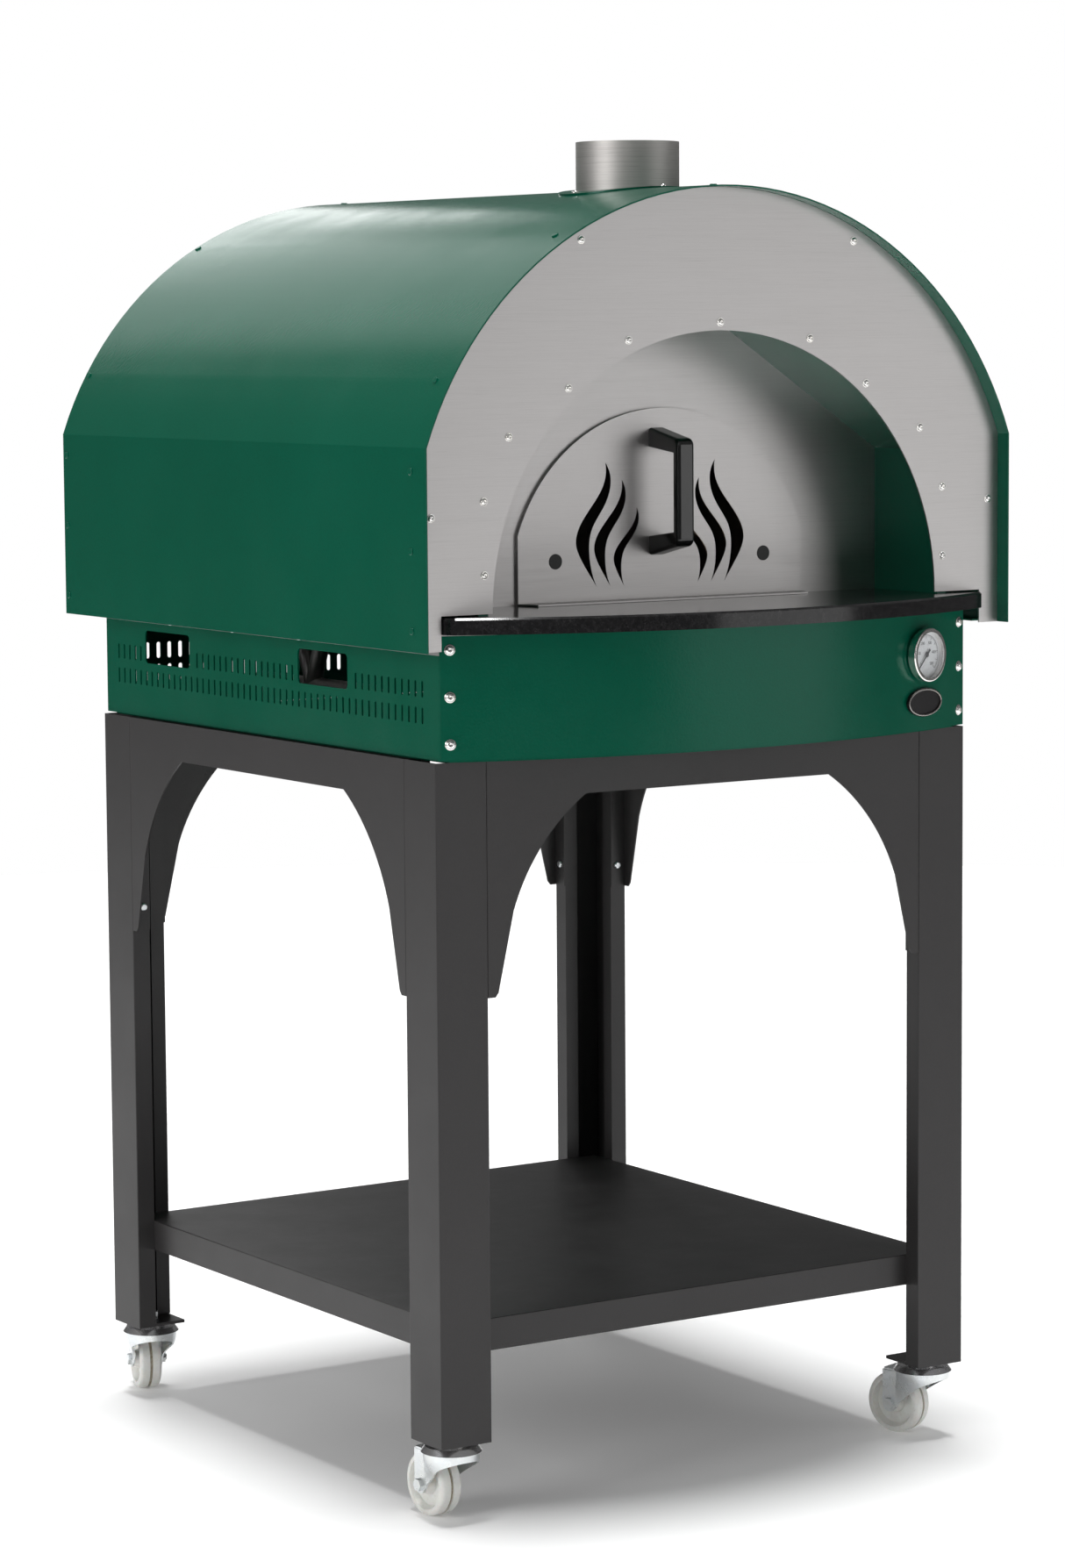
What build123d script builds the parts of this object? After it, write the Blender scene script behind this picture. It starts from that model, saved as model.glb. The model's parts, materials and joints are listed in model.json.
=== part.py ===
from build123d import *
import os
from math import cos, radians, sin, sqrt

# Domed pizza oven on a four-leg castor stand. Millimetres, +Z up, floor at Z = 0, mouth facing -Y.
# It is drawn about the middle of the stand; saving moves it to the middle of its bounding box.
ORIGIN_Y = 49.6

# Stand
STAND_W = 800.0
STAND_D = 850.0
LEG_Z = 100.0            # floor to the underside of the legs
STAND_TOP = 935.0
SHEET = 2.0
LEG_FLANGE = 72.0
LEG_LIP = 25.0
LEG_RETURN = 20.0
BEND = 1.2               # outer radius of the folded corners
FOOT_T = 4.0
FOOT_SIZE = 68.0
APRON_FLAT = 144.0       # apron end to the start of the arch
APRON_ARCH_Z = 886.0
APRON_MID = (81.0, 829.0)
APRON_BEND = (37.5, 750.0)
APRON_EAR = (15.0, 652.0)
APRON_LOW_Z = 646.5
BOLT_Z = (677.5, 905.0)
BOLT_IN = 15.0           # bolt axis behind the outer face
SHELF_TOP = 247.0
SHELF_SKIRT = 40.0
M6_SHANK = 3.0
M6_HOLE = 3.2
M6_NUT = 5.7             # corner radius of the hexagon
M6_HEAD = (5.3, 3.2)     # radius and height of the domed head

# Castors
CASTOR_X = 364.0
CASTOR_Y = 389.0
STUD_R = 6.0
TRAIL = 38.0
WHEEL_R = 40.0
WHEEL_W = 30.0
HUB_W = 36.0
AXLE_R = 5.0
FORK_GAP = 38.0
FORK_T = 2.5
FORK_TOP = 87.0
FORK_PLATE_T = 3.0
RACE_R = 38.0
PIN_R = 8.0
FIT = 0.05
CASTORS = {"fl": (-1, -1, 3.0), "fr": (1, -1, 17.0), "rl": (-1, 1, -16.0), "rr": (1, 1, 8.0)}

# Burner box
BOX_X = 395.0
BOX_Z = 938.0
BOX_TOP = 1090.0
RAIL_Z = 1063.5          # top of the side panels; a channel rail fills the rest
BOX_REAR = 422.0
BOX_END_Y = -430.0       # front panel, at its side edges
BOX_BULGE_Y = -505.0     # front panel, at its middle
BOX_FLANGE = 22.0
HEARTH_T = 3.0           # plate between the box and the oven
SLOT_PITCH = 15.56
SLOT_FIRST_Y = 389.0
SLOT_COUNT = 51
SLOT_W = 4.0
SLOT_H = 20.0
SLOT_ROWS = (989.5, 1021.5)
WINDOW_Y = (252.5, -152.5)
WINDOW_Z = 1031.3
WINDOW_W = 122.0
WINDOW_H = 43.5
REAR_PITCH = 16.7
REAR_ROWS = (987.0, 1017.0)
REAR_SLOT_H = 22.0
REAR_SLOT_W = 6.3
FRONT_BOLT_X = 384.0
FRONT_BOLT_Z = (957.5, 1014.0, 1070.5)
BOX_BOLT_R = 4.0
BOX_BOLT_HOLE = 4.4
BOX_BOLT_HEAD = (6.7, 3.6)
BURNER_X = -250.0
BURNER_Y = 120.0
BURNER_Z = 985.0
BURNER_R = 11.0
RISER_SPREAD = 40.0      # risers to each side of the rail's middle, at the hearth plate
RISER_HOLE = 18.0

# Dial thermometer and plate on the front panel
GAUGE_X = 304.0
GAUGE_Z = 1034.0
BEZEL_R = 34.0
STEM_R = 4.0
NEEDLE_REST = 135.0      # needle from straight up, anticlockwise, at its coldest mark
BADGE_X = 306.0
BADGE_Z = 973.5

# Oven shell
HOOD_X = 437.0
HOOD_Z = 1070.0
HOOD_FRONT = -470.0
HOOD_REAR = 460.0
DOME_R = 463.0
DOME_Z = 1158.0
FACE_Y = -450.0
RIVET_ROWS = (-436.0, 450.0)
RIVET_ANGLES = (-60, -30, 0, 30, 60)
RIVET_Z = (1095.0, 1189.0, 1283.0)
RIVET_R = 2.4
SCREW_R = 2.4
FREE = 0.3               # play between a shank and its hole
RIM_GAP = 0.3
RIM_FLANGE = 26.0
CLIP_Y = (-139.0, 30.0, 196.0)
CLIP_W = 30.0
CLIP_X = 418.0

# Sill, porch and chamber
STONE_TOP = 1110.0
STONE_X = 403.0
STONE_END_Y = -462.0
STONE_FRONT_Y = -567.0
STONE_REAR_Y = -312.0
STONE_CORNER = 18.0
STONE_BEVEL = 2.5
PINHOLE_X = (-98.0, -80.0, -62.0)
PINHOLE_Y = -541.0
PINHOLE_R = 1.6
MOUTH_R = 333.0
MOUTH_Z = 1112.0
PORCH_X = 338.0
PORCH_SIDE_Z = 1292.0
PORCH_TOP = 1447.0
PORCH_SLOPE = 33.4
PORCH_REAR = -318.0
VAULT_R = 340.0
VAULT_REAR = 350.0
BLANKET = 50.0
RING_SCREWS = ((136.0, 1434.0), (223.0, 1377.5), (308.5, 1321.0), (344.5, 1245.5), (344.5, 1158.0))
OUTER_SCREWS = ((418.0, 1228.0), (203.5, 1554.0))
TOP_SCREW = (0.0, 1455.0)

# Door
DOOR_FRONT = -323.0
DOOR_BACK = -318.3
DOOR_X = 215.0
DOOR_Z = 1110.3
DOOR_SPRING = 1196.0
DOOR_TOP = 1349.0
DOOR_FOOT = 30.0
DOOR_T = 2.0
MOUTH_INSET = 20.0
PATTERN_X = -2.0         # middle of the flames and plugs
PLUG = (158.0, 1162.5, 9.5)
FLAME_Z = 1129.0
FLAMES = ((97.0, 154.0, 0.0), (76.5, 132.0, -0.045), (56.0, 97.0, -0.11))    # foot, height, lean
FLAME_OUTER = ((0, 0), (0.135, 0.20), (0.198, 0.36), (0.096, 0.586), (-0.062, 0.80), (-0.09, 1))
FLAME_INNER = ((0, 0), (0.067, 0.235), (0.048, 0.451), (-0.087, 0.664), (-0.141, 0.82), (-0.09, 1))
HANDLE_X = -7.0
HANDLE_Z = 1245.3
HANDLE_W = 26.0
HANDLE_ROUND = 5.0
HANDLE_OUTER = ((0, 79.3), (64, 65.5))      # stand-off and half height, at the leaf and at the bar
HANDLE_INNER = ((-1, 55.7), (53.5, 49))

# Chimney
CHIMNEY_Y = -250.0
CHIMNEY_R = 65.0
CHIMNEY_TOP = 1680.0
COLLAR_R = 87.0
COLLAR_SCREW_R = 79.0    # screws from the pipe's axis
COLLAR_SCREW_SHANK = 2.0
COLLAR_GAP = 0.2

MIN = (Align.CENTER, Align.CENTER, Align.MIN)
MAX = (Align.CENTER, Align.CENTER, Align.MAX)
CORNERS = {"fl": (-1, -1), "fr": (1, -1), "rl": (-1, 1), "rr": (1, 1)}
os.makedirs("parts", exist_ok=True)


def save(builder, name):
    placed = builder.part.moved(Location((0, ORIGIN_Y, 0)))
    placed.label = name
    export_step(placed, f"parts/{name}.step")


def upright(y):
    """A plane facing -Y at depth y: local x is +X, local y is +Z."""
    return Plane(origin=(0, y, 0), x_dir=(1, 0, 0), z_dir=(0, -1, 0))


def facing(origin, direction):
    """A location whose +Z looks along a direction."""
    return Plane(origin=origin, z_dir=direction).location


def bolt_part(head_r, head_h, shank_r, length):
    """A domed bolt: the head rises along +Z from the origin, the shank goes down."""
    with BuildPart() as bolt:
        Cylinder(head_r, head_h, align=MIN)
        fillet(bolt.edges().group_by(Axis.Z)[-1], head_h * 0.7)
        with Locations((0, 0, -length)):
            Cylinder(shank_r, length, align=MIN)
    return bolt.part


def nut_part(corner_r, height, bore_r, depth):
    """A hexagon nut whose top face is at -depth, under the head of bolt_part."""
    with BuildPart() as nut:
        with BuildSketch(Plane.XY.offset(-depth)):
            RegularPolygon(corner_r, 6)
            Circle(bore_r + 0.1, mode=Mode.SUBTRACT)
        extrude(amount=-height)
    return nut.part


# ---------------------------------------------------------------- stand

def apron_bolt_axes(sx, sy, z, back=0.0):
    """Apron bolts through one leg's two lips at height z, set back from the lip's face."""
    x, y = STAND_W / 2, STAND_D / 2
    away = LEG_FLANGE + back
    return [facing((sx * (x - BOLT_IN), sy * (y - away), z), (0, -sy, 0)),
            facing((sx * (x - away), sy * (y - BOLT_IN), z), (-sx, 0, 0))]


def shelf_bolt_axes(sx, sy):
    """Shelf bolts through one leg's two returns, seated inside the tray's skirt."""
    x, y, z = STAND_W / 2, STAND_D / 2, SHELF_TOP - SHELF_SKIRT / 2
    along = LEG_FLANGE - LEG_RETURN / 2
    away = LEG_LIP + SHEET
    return [facing((sx * (x - along), sy * (y - away), z), (0, -sy, 0)),
            facing((sx * (x - away), sy * (y - along), z), (-sx, 0, 0))]


def folded_outline(section, sx, sy, points):
    """Draw a corner profile with rounded outer folds; points count inwards from the stand's corner."""
    def place(u, v):
        return (sx * (STAND_W / 2 - u), sy * (STAND_D / 2 - v))
    Polygon(*[place(u, v) for u, v in points], align=None)
    folds = [place(0, 0), place(LEG_FLANGE, 0), place(0, LEG_FLANGE)]
    fillet([section.vertices().sort_by_distance(fold)[0] for fold in folds], BEND)


def make_leg(name, sx, sy):
    f, lip, back, t = LEG_FLANGE, LEG_LIP, LEG_FLANGE - LEG_RETURN, SHEET
    half = [(0, 0), (f, 0), (f, lip), (back, lip), (back, lip - t), (f - t, lip - t), (f - t, t), (t, t)]
    channel = half + [(v, u) for u, v in reversed(half[1:-1])]
    angle = [(0, 0), (f, 0), (f, t), (t, t), (t, f), (0, f)]
    with BuildPart() as leg:
        with BuildSketch(Plane.XY.offset(LEG_Z)) as foot:
            folded_outline(foot, sx, sy, angle)
        extrude(amount=FOOT_T)
        with BuildSketch(Plane.XY.offset(LEG_Z + FOOT_T)) as post:
            folded_outline(post, sx, sy, channel)
        extrude(amount=STAND_TOP - LEG_Z - FOOT_T)
        with Locations(*[place for z in BOLT_Z for place in apron_bolt_axes(sx, sy, z)]):
            Cylinder(M6_HOLE, 3 * SHEET, mode=Mode.SUBTRACT)
        with Locations(*shelf_bolt_axes(sx, sy)):
            Cylinder(M6_HOLE, 7 * SHEET, mode=Mode.SUBTRACT)
    save(leg, name)


def make_foot_plates():
    inset = SHEET + FOOT_SIZE / 2
    with BuildPart() as plates:
        for sx, sy in CORNERS.values():
            with Locations((sx * (STAND_W / 2 - inset), sy * (STAND_D / 2 - inset), LEG_Z)):
                Box(FOOT_SIZE, FOOT_SIZE, FOOT_T, align=MIN)
            with Locations((sx * CASTOR_X, sy * CASTOR_Y, LEG_Z)):
                Cylinder(STUD_R + 0.2, FOOT_T, align=MIN, mode=Mode.SUBTRACT)
    save(plates, "foot_plates")


def make_apron(name, plane, width):
    """One apron: arched face, top flange and two end flanges, folded from one sheet."""
    end = width / 2
    flat, bend, ear = end - APRON_FLAT, end - APRON_BEND[0], end - APRON_EAR[0]
    with BuildPart() as apron:
        with BuildSketch(plane):
            with BuildLine():
                Line((0, APRON_ARCH_Z), (flat, APRON_ARCH_Z))
                ThreePointArc((flat, APRON_ARCH_Z), (end - APRON_MID[0], APRON_MID[1]), (bend, APRON_BEND[1]))
                Polyline((bend, APRON_BEND[1]), (ear, APRON_EAR[1]), (ear + 4.5, APRON_LOW_Z),
                         (end, APRON_LOW_Z), (end, STAND_TOP), (0, STAND_TOP), (0, APRON_ARCH_Z))
            make_face()
            mirror(about=Plane.YZ)
        extrude(amount=-SHEET)
        with BuildSketch(plane):
            with Locations((end - SHEET / 2, (STAND_TOP + APRON_LOW_Z) / 2),
                           (-end + SHEET / 2, (STAND_TOP + APRON_LOW_Z) / 2)):
                Rectangle(SHEET, STAND_TOP - APRON_LOW_Z)
            with Locations((0, STAND_TOP - SHEET / 2)):
                Rectangle(width, SHEET)
        extrude(amount=-LEG_LIP)
        upright_edges = apron.edges().filter_by(Axis.Z)
        ends = [plane.from_local_coords((side * end, STAND_TOP - 100, 0)) for side in (-1, 1)]
        fillet([upright_edges.sort_by_distance(point)[0] for point in ends], BEND)
        holes = [plane.from_local_coords((side * end, z, -BOLT_IN)) for side in (-1, 1) for z in BOLT_Z]
        with Locations(*[facing(hole, plane.x_dir) for hole in holes]):
            Cylinder(M6_HOLE, 3 * SHEET, mode=Mode.SUBTRACT)
    save(apron, name)


def make_bolts(name, places, bolt, nut=None):
    """A group of identical bolts, each with its nut where one is given."""
    with BuildPart() as group:
        with Locations(*places):
            add(bolt)
            if nut is not None:
                add(nut)
    save(group, name)


def make_shelf(places):
    with BuildPart() as tray:
        with Locations((0, 0, SHELF_TOP - SHELF_SKIRT)):
            Box(STAND_W - 2 * LEG_LIP, STAND_D - 2 * LEG_LIP, SHELF_SKIRT, align=MIN)
            Box(STAND_W - 2 * (LEG_LIP + SHEET), STAND_D - 2 * (LEG_LIP + SHEET), SHELF_SKIRT - SHEET,
                align=MIN, mode=Mode.SUBTRACT)
        fillet(tray.faces().sort_by(Axis.Z)[-1].edges(), BEND)
        with Locations(*places):
            Cylinder(M6_HOLE, 7 * SHEET, mode=Mode.SUBTRACT)
    save(tray, "shelf_tray")


def make_stand():
    for key, (sx, sy) in CORNERS.items():
        make_leg(f"leg_{key}", sx, sy)
    make_foot_plates()
    half_x, half_y = STAND_W / 2, STAND_D / 2
    rear = Plane(origin=(0, half_y, 0), x_dir=(-1, 0, 0), z_dir=(0, 1, 0))
    left = Plane(origin=(-half_x, 0, 0), x_dir=(0, -1, 0), z_dir=(-1, 0, 0))
    right = Plane(origin=(half_x, 0, 0), x_dir=(0, 1, 0), z_dir=(1, 0, 0))
    make_apron("apron_front", upright(-half_y), STAND_W - 2 * LEG_FLANGE)
    make_apron("apron_rear", rear, STAND_W - 2 * LEG_FLANGE)
    make_apron("apron_left", left, STAND_D - 2 * LEG_FLANGE)
    make_apron("apron_right", right, STAND_D - 2 * LEG_FLANGE)
    corners = list(CORNERS.values())
    bolt = bolt_part(*M6_HEAD, M6_SHANK, 12.0)
    nut = nut_part(M6_NUT, 5.0, M6_SHANK, 2 * SHEET)
    apron_places = [place for sx, sy in corners for z in BOLT_Z for place in apron_bolt_axes(sx, sy, z, SHEET)]
    shelf_places = [place for sx, sy in corners for place in shelf_bolt_axes(sx, sy)]
    make_bolts("apron_bolts", apron_places, bolt, nut)
    make_shelf(shelf_places)
    make_bolts("shelf_bolts", shelf_places, bolt, nut)


# -------------------------------------------------------------- castors

def castor_plane(sx, sy, swivel):
    """The castor's own frame on the floor: local +Y trails behind the swivel axis."""
    turn = radians(swivel)
    return Plane(origin=(sx * CASTOR_X, sy * CASTOR_Y, 0), x_dir=(cos(turn), sin(turn), 0), z_dir=(0, 0, 1))


def make_castor_heads():
    """Fixed bearing heads: race, neck, threaded stud, and the pin that carries the fork."""
    race_z = FORK_TOP + 1.0
    with BuildPart() as heads:
        for sx, sy in CORNERS.values():
            with Locations((sx * CASTOR_X, sy * CASTOR_Y, race_z)):
                Cone(RACE_R, RACE_R - 5, 7, align=MIN)
            with Locations((sx * CASTOR_X, sy * CASTOR_Y, race_z)):
                Cylinder(19, LEG_Z - race_z, align=MIN)
                Cylinder(STUD_R, 34, align=MIN)
                Cylinder(PIN_R, 9.5, align=MAX)
            with Locations((sx * CASTOR_X, sy * CASTOR_Y, race_z - 9.5)):
                Cylinder(12, 5, align=MIN)
    save(heads, "castor_heads")
    with BuildPart() as nuts:
        for sx, sy in CORNERS.values():
            with BuildSketch(Plane.XY.offset(LEG_Z + FOOT_T)):
                with Locations((sx * CASTOR_X, sy * CASTOR_Y)):
                    RegularPolygon(11, 6)
                    Circle(STUD_R + 0.1, mode=Mode.SUBTRACT)
            extrude(amount=10)
    save(nuts, "castor_nuts")


def make_fork(name, frame):
    """A pressed fork: round top plate and two cheeks that sweep back to the axle."""
    cheek_x = FORK_GAP / 2
    with BuildPart() as fork:
        with BuildSketch(frame.offset(FORK_TOP - FORK_PLATE_T)):
            Circle(RACE_R - 3)
            with Locations((0, (TRAIL + 10) / 2)):
                Rectangle(FORK_GAP + 2 * FORK_T, TRAIL + 10)
        extrude(amount=FORK_PLATE_T)
        for start in (cheek_x, -cheek_x - FORK_T):
            plane = Plane(origin=frame.from_local_coords((start, 0, 0)), x_dir=frame.y_dir, z_dir=frame.x_dir)
            with BuildSketch(plane):
                with BuildLine():
                    Polyline((-29, FORK_TOP - 6), (-29, FORK_TOP), (TRAIL + 10, FORK_TOP), (TRAIL + 11, WHEEL_R))
                    ThreePointArc((TRAIL + 11, WHEEL_R), (TRAIL, WHEEL_R - 11), (TRAIL - 11, WHEEL_R))
                    ThreePointArc((TRAIL - 11, WHEEL_R), (10, 67), (-29, FORK_TOP - 6))
                make_face()
                with Locations((TRAIL, WHEEL_R)):
                    Circle(AXLE_R + FIT, mode=Mode.SUBTRACT)
            extrude(amount=FORK_T)
        with BuildSketch(frame.offset(FORK_TOP)):
            Circle(PIN_R + FIT)
        extrude(amount=-2 * FORK_PLATE_T, mode=Mode.SUBTRACT)
    save(fork, name)


def make_wheel(name, frame):
    """A nylon wheel, turned about its axle: hub, dished web, and a rim with one groove."""
    centre = frame.from_local_coords((0, TRAIL, WHEEL_R))
    section = Plane(origin=centre, x_dir=frame.x_dir, z_dir=-frame.y_dir)
    hub, rim, edge = HUB_W / 2, WHEEL_W / 2, 5.0
    bore, groove = AXLE_R + FIT, 2.0
    with BuildPart() as wheel:
        with BuildSketch(section):
            with BuildLine():
                Polyline((0, bore), (hub, bore), (hub, 11), (7, 14), (7, 28), (rim, 32), (rim, WHEEL_R - edge))
                ThreePointArc((rim, WHEEL_R - edge), (rim - edge * (1 - cos(radians(45))),
                              WHEEL_R - edge * (1 - sin(radians(45)))), (rim - edge, WHEEL_R))
                Polyline((rim - edge, WHEEL_R), (groove, WHEEL_R), (groove, WHEEL_R - 4), (0, WHEEL_R - 4),
                         (0, bore))
            make_face()
            mirror(about=Plane.YZ)
        revolve(axis=Axis(centre, frame.x_dir))
    save(wheel, name)


def make_axle(name, frame):
    """A hexagon-head axle bolt with its nut, outside the fork's cheeks."""
    outside = FORK_GAP / 2 + FORK_T
    start = frame.from_local_coords((-outside, TRAIL, WHEEL_R))
    plane = Plane(origin=start, x_dir=frame.y_dir, z_dir=frame.x_dir)
    with BuildPart() as axle:
        with BuildSketch(plane):
            RegularPolygon(8, 6)
        extrude(amount=-4.5)
        with BuildSketch(plane):
            Circle(AXLE_R)
        extrude(amount=2 * outside + 7)
        with BuildSketch(plane.offset(2 * outside)):
            RegularPolygon(8, 6)
            Circle(AXLE_R + 0.1, mode=Mode.SUBTRACT)
        extrude(amount=5)
    save(axle, name)


def make_castors():
    make_castor_heads()
    for key, (sx, sy, swivel) in CASTORS.items():
        frame = castor_plane(sx, sy, swivel)
        make_fork(f"castor_fork_{key}", frame)
        make_wheel(f"castor_wheel_{key}", frame)
        make_axle(f"castor_axle_{key}", frame)


# ----------------------------------------------------------- burner box

def bulge(half_chord, end_y, middle_y):
    """Radius and centre of the arc through both ends and the middle of an arched front."""
    rise = end_y - middle_y
    radius = (half_chord ** 2 + rise ** 2) / (2 * rise)
    return radius, middle_y + radius


def arched_face(half_x, rear_y, end_y, middle_y):
    """A flat outline with straight sides and rear and an arched front."""
    with BuildLine() as outline:
        Polyline((-half_x, end_y), (-half_x, rear_y), (half_x, rear_y), (half_x, end_y))
        ThreePointArc((half_x, end_y), (0, middle_y), (-half_x, end_y))
    make_face(outline.edges())


def front_surface(x):
    """Depth of the front panel's outer face at x, and its outward direction there."""
    radius, centre_y = bulge(BOX_X, BOX_END_Y, BOX_BULGE_Y)
    y = centre_y - sqrt(radius ** 2 - x ** 2)
    return y, Vector(x / radius, (y - centre_y) / radius, 0)


def front_bolt_axes(side):
    """The three bolts at one side of the front panel, square to its surface."""
    y, outward = front_surface(side * FRONT_BOLT_X)
    return [facing((side * FRONT_BOLT_X, y, z), outward) for z in FRONT_BOLT_Z]


def make_side_panel(name, side):
    """One side of the box: folded top, bottom and ends, two windows and two rows of slots."""
    face = Plane(origin=(side * BOX_X, 0, 0), x_dir=(0, 1, 0), z_dir=(1, 0, 0))
    start, stop = BOX_END_Y + SHEET, BOX_REAR
    middle_y, middle_z = (start + stop) / 2, (BOX_Z + RAIL_Z) / 2
    height = RAIL_Z - BOX_Z
    clear = WINDOW_W / 2 + SLOT_PITCH / 2
    slots = [SLOT_FIRST_Y - i * SLOT_PITCH for i in range(SLOT_COUNT)]
    upper = [y for y in slots if all(abs(y - window) > clear for window in WINDOW_Y)]
    with BuildPart() as panel:
        with BuildSketch(face):
            with Locations((middle_y, middle_z)):
                Rectangle(stop - start, height)
            with Locations(*[(y, WINDOW_Z) for y in WINDOW_Y]):
                RectangleRounded(WINDOW_W, WINDOW_H, 6, mode=Mode.SUBTRACT)
            with Locations(*[(y, SLOT_ROWS[0]) for y in slots], *[(y, SLOT_ROWS[1]) for y in upper]):
                SlotOverall(SLOT_H, SLOT_W, rotation=90, mode=Mode.SUBTRACT)
        extrude(amount=-side * SHEET)
        with BuildSketch(face):
            with Locations((middle_y, middle_z)):
                Rectangle(stop - start, height)
                Rectangle(stop - start - 2 * SHEET, height - 2 * SHEET, mode=Mode.SUBTRACT)
        extrude(amount=-side * BOX_FLANGE)
        with Locations(*front_bolt_axes(side)):
            Cylinder(BOX_BOLT_HOLE, 40, mode=Mode.SUBTRACT)
    save(panel, name)


def make_rails():
    """Channel rails between the side panels and the hearth plate, with tabs that hold the shell."""
    start, stop = BOX_END_Y + SHEET, BOX_REAR
    top = BOX_TOP - HEARTH_T
    with BuildPart() as rails:
        for side in (-1, 1):
            web = side * BOX_X
            with BuildSketch(Plane(origin=(web, 0, 0), x_dir=(0, 1, 0), z_dir=(1, 0, 0))):
                with Locations(((start + stop) / 2, (RAIL_Z + top) / 2)):
                    Rectangle(stop - start, top - RAIL_Z)
            extrude(amount=-side * BOX_FLANGE)
            with BuildSketch(Plane(origin=(web - side * SHEET, 0, 0), x_dir=(0, 1, 0), z_dir=(1, 0, 0))):
                with Locations(((start + stop) / 2, (RAIL_Z + top) / 2)):
                    Rectangle(stop - start - 2 * SHEET, top - RAIL_Z - 2 * SHEET)
            extrude(amount=-side * BOX_FLANGE, mode=Mode.SUBTRACT)
            reach = CLIP_X + 8 - BOX_X
            with Locations(*[(side * (BOX_X + reach / 2), y, HOOD_Z + SHEET) for y in CLIP_Y]):
                Box(reach, CLIP_W, SHEET, align=MIN)
            with Locations(*[(side * CLIP_X, y, HOOD_Z + SHEET) for y in CLIP_Y]):
                Cylinder(M6_HOLE, 3 * SHEET, mode=Mode.SUBTRACT)
            with Locations(*front_bolt_axes(side)):
                Cylinder(BOX_BOLT_HOLE, 40, mode=Mode.SUBTRACT)
    save(rails, "hood_rails")


def make_rear_panel():
    columns = int((BOX_X - 40) // REAR_PITCH)
    slots = [i * REAR_PITCH for i in range(-columns, columns + 1)]
    with BuildPart() as panel:
        with BuildSketch(upright(BOX_REAR)):
            with Locations((0, (BOX_Z + BOX_TOP - HEARTH_T) / 2)):
                Rectangle(2 * BOX_X, BOX_TOP - HEARTH_T - BOX_Z)
            with Locations(*[(x, z) for x in slots for z in REAR_ROWS]):
                SlotOverall(REAR_SLOT_H, REAR_SLOT_W, rotation=90, mode=Mode.SUBTRACT)
        extrude(amount=-SHEET)
    save(panel, "box_rear")


def make_front_panel():
    gauge_y, outward = front_surface(GAUGE_X)
    with BuildPart() as panel:
        with BuildSketch(Plane.XY.offset(BOX_Z)):
            arched_face(BOX_X, BOX_END_Y + 3 * SHEET, BOX_END_Y, BOX_BULGE_Y)
            with BuildLine():
                inner = BOX_END_Y + SHEET
                Polyline((-BOX_X - 1, inner), (-BOX_X - 1, inner + 20), (BOX_X + 1, inner + 20), (BOX_X + 1, inner))
                ThreePointArc((BOX_X + 1, inner), (0, BOX_BULGE_Y + SHEET), (-BOX_X - 1, inner))
            make_face(mode=Mode.SUBTRACT)
        extrude(amount=BOX_TOP - HEARTH_T - BOX_Z)
        with Locations(facing((GAUGE_X, gauge_y, GAUGE_Z), outward)):
            Cylinder(STEM_R + 0.3, 20, mode=Mode.SUBTRACT)
        with Locations(*front_bolt_axes(-1), *front_bolt_axes(1)):
            Cylinder(BOX_BOLT_HOLE, 40, mode=Mode.SUBTRACT)
    save(panel, "box_front")


def make_box_plates():
    """Floor pan, set in for a shadow line, and the hearth plate that carries the oven."""
    inset = 8.0
    with BuildPart() as pan:
        with BuildSketch(Plane.XY.offset(STAND_TOP)):
            arched_face(BOX_X - inset, BOX_REAR - inset, BOX_END_Y + inset, BOX_BULGE_Y + inset)
        extrude(amount=BOX_Z - STAND_TOP)
    save(pan, "floor_pan")
    with BuildPart() as plate:
        with BuildSketch(Plane.XY.offset(BOX_TOP - HEARTH_T)):
            arched_face(BOX_X, BOX_REAR, BOX_END_Y, BOX_BULGE_Y)
            with Locations(*[(BURNER_X, BURNER_Y + side * RISER_SPREAD) for side in (-1, 1)]):
                Circle(RISER_HOLE, mode=Mode.SUBTRACT)
        extrude(amount=HEARTH_T)
    save(plate, "hearth_plate")


def make_burner():
    """Gas rail along the box with two slanted risers that meet it in a V, on a foot."""
    foot_z = BOX_Z
    top_z = STONE_TOP + 2
    spread = RISER_SPREAD * (top_z - BURNER_Z) / (BOX_TOP - HEARTH_T - BURNER_Z)
    with BuildPart() as burner:
        with Locations(facing((BURNER_X, BURNER_Y - 160, BURNER_Z), (0, 1, 0))):
            Cylinder(BURNER_R, 300, align=MIN)
        for side in (-1, 1):
            start = Vector(BURNER_X, BURNER_Y, BURNER_Z)
            finish = Vector(BURNER_X, BURNER_Y + side * spread, top_z)
            with Locations(facing(start, finish - start)):
                Cylinder(BURNER_R, (finish - start).length, align=MIN)
        with Locations((BURNER_X, BURNER_Y - 140, foot_z), (BURNER_X, BURNER_Y + 120, foot_z)):
            Box(20, 6, BURNER_Z - foot_z, align=MIN)
    save(burner, "burner")


def gauge_plane(distance):
    """A plane across the thermometer, this far in front of the front panel."""
    y, outward = front_surface(GAUGE_X)
    origin = Vector(GAUGE_X, y, GAUGE_Z) + outward * distance
    return Plane(origin=origin, x_dir=Vector(0, 0, 1).cross(outward), z_dir=outward)


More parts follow.
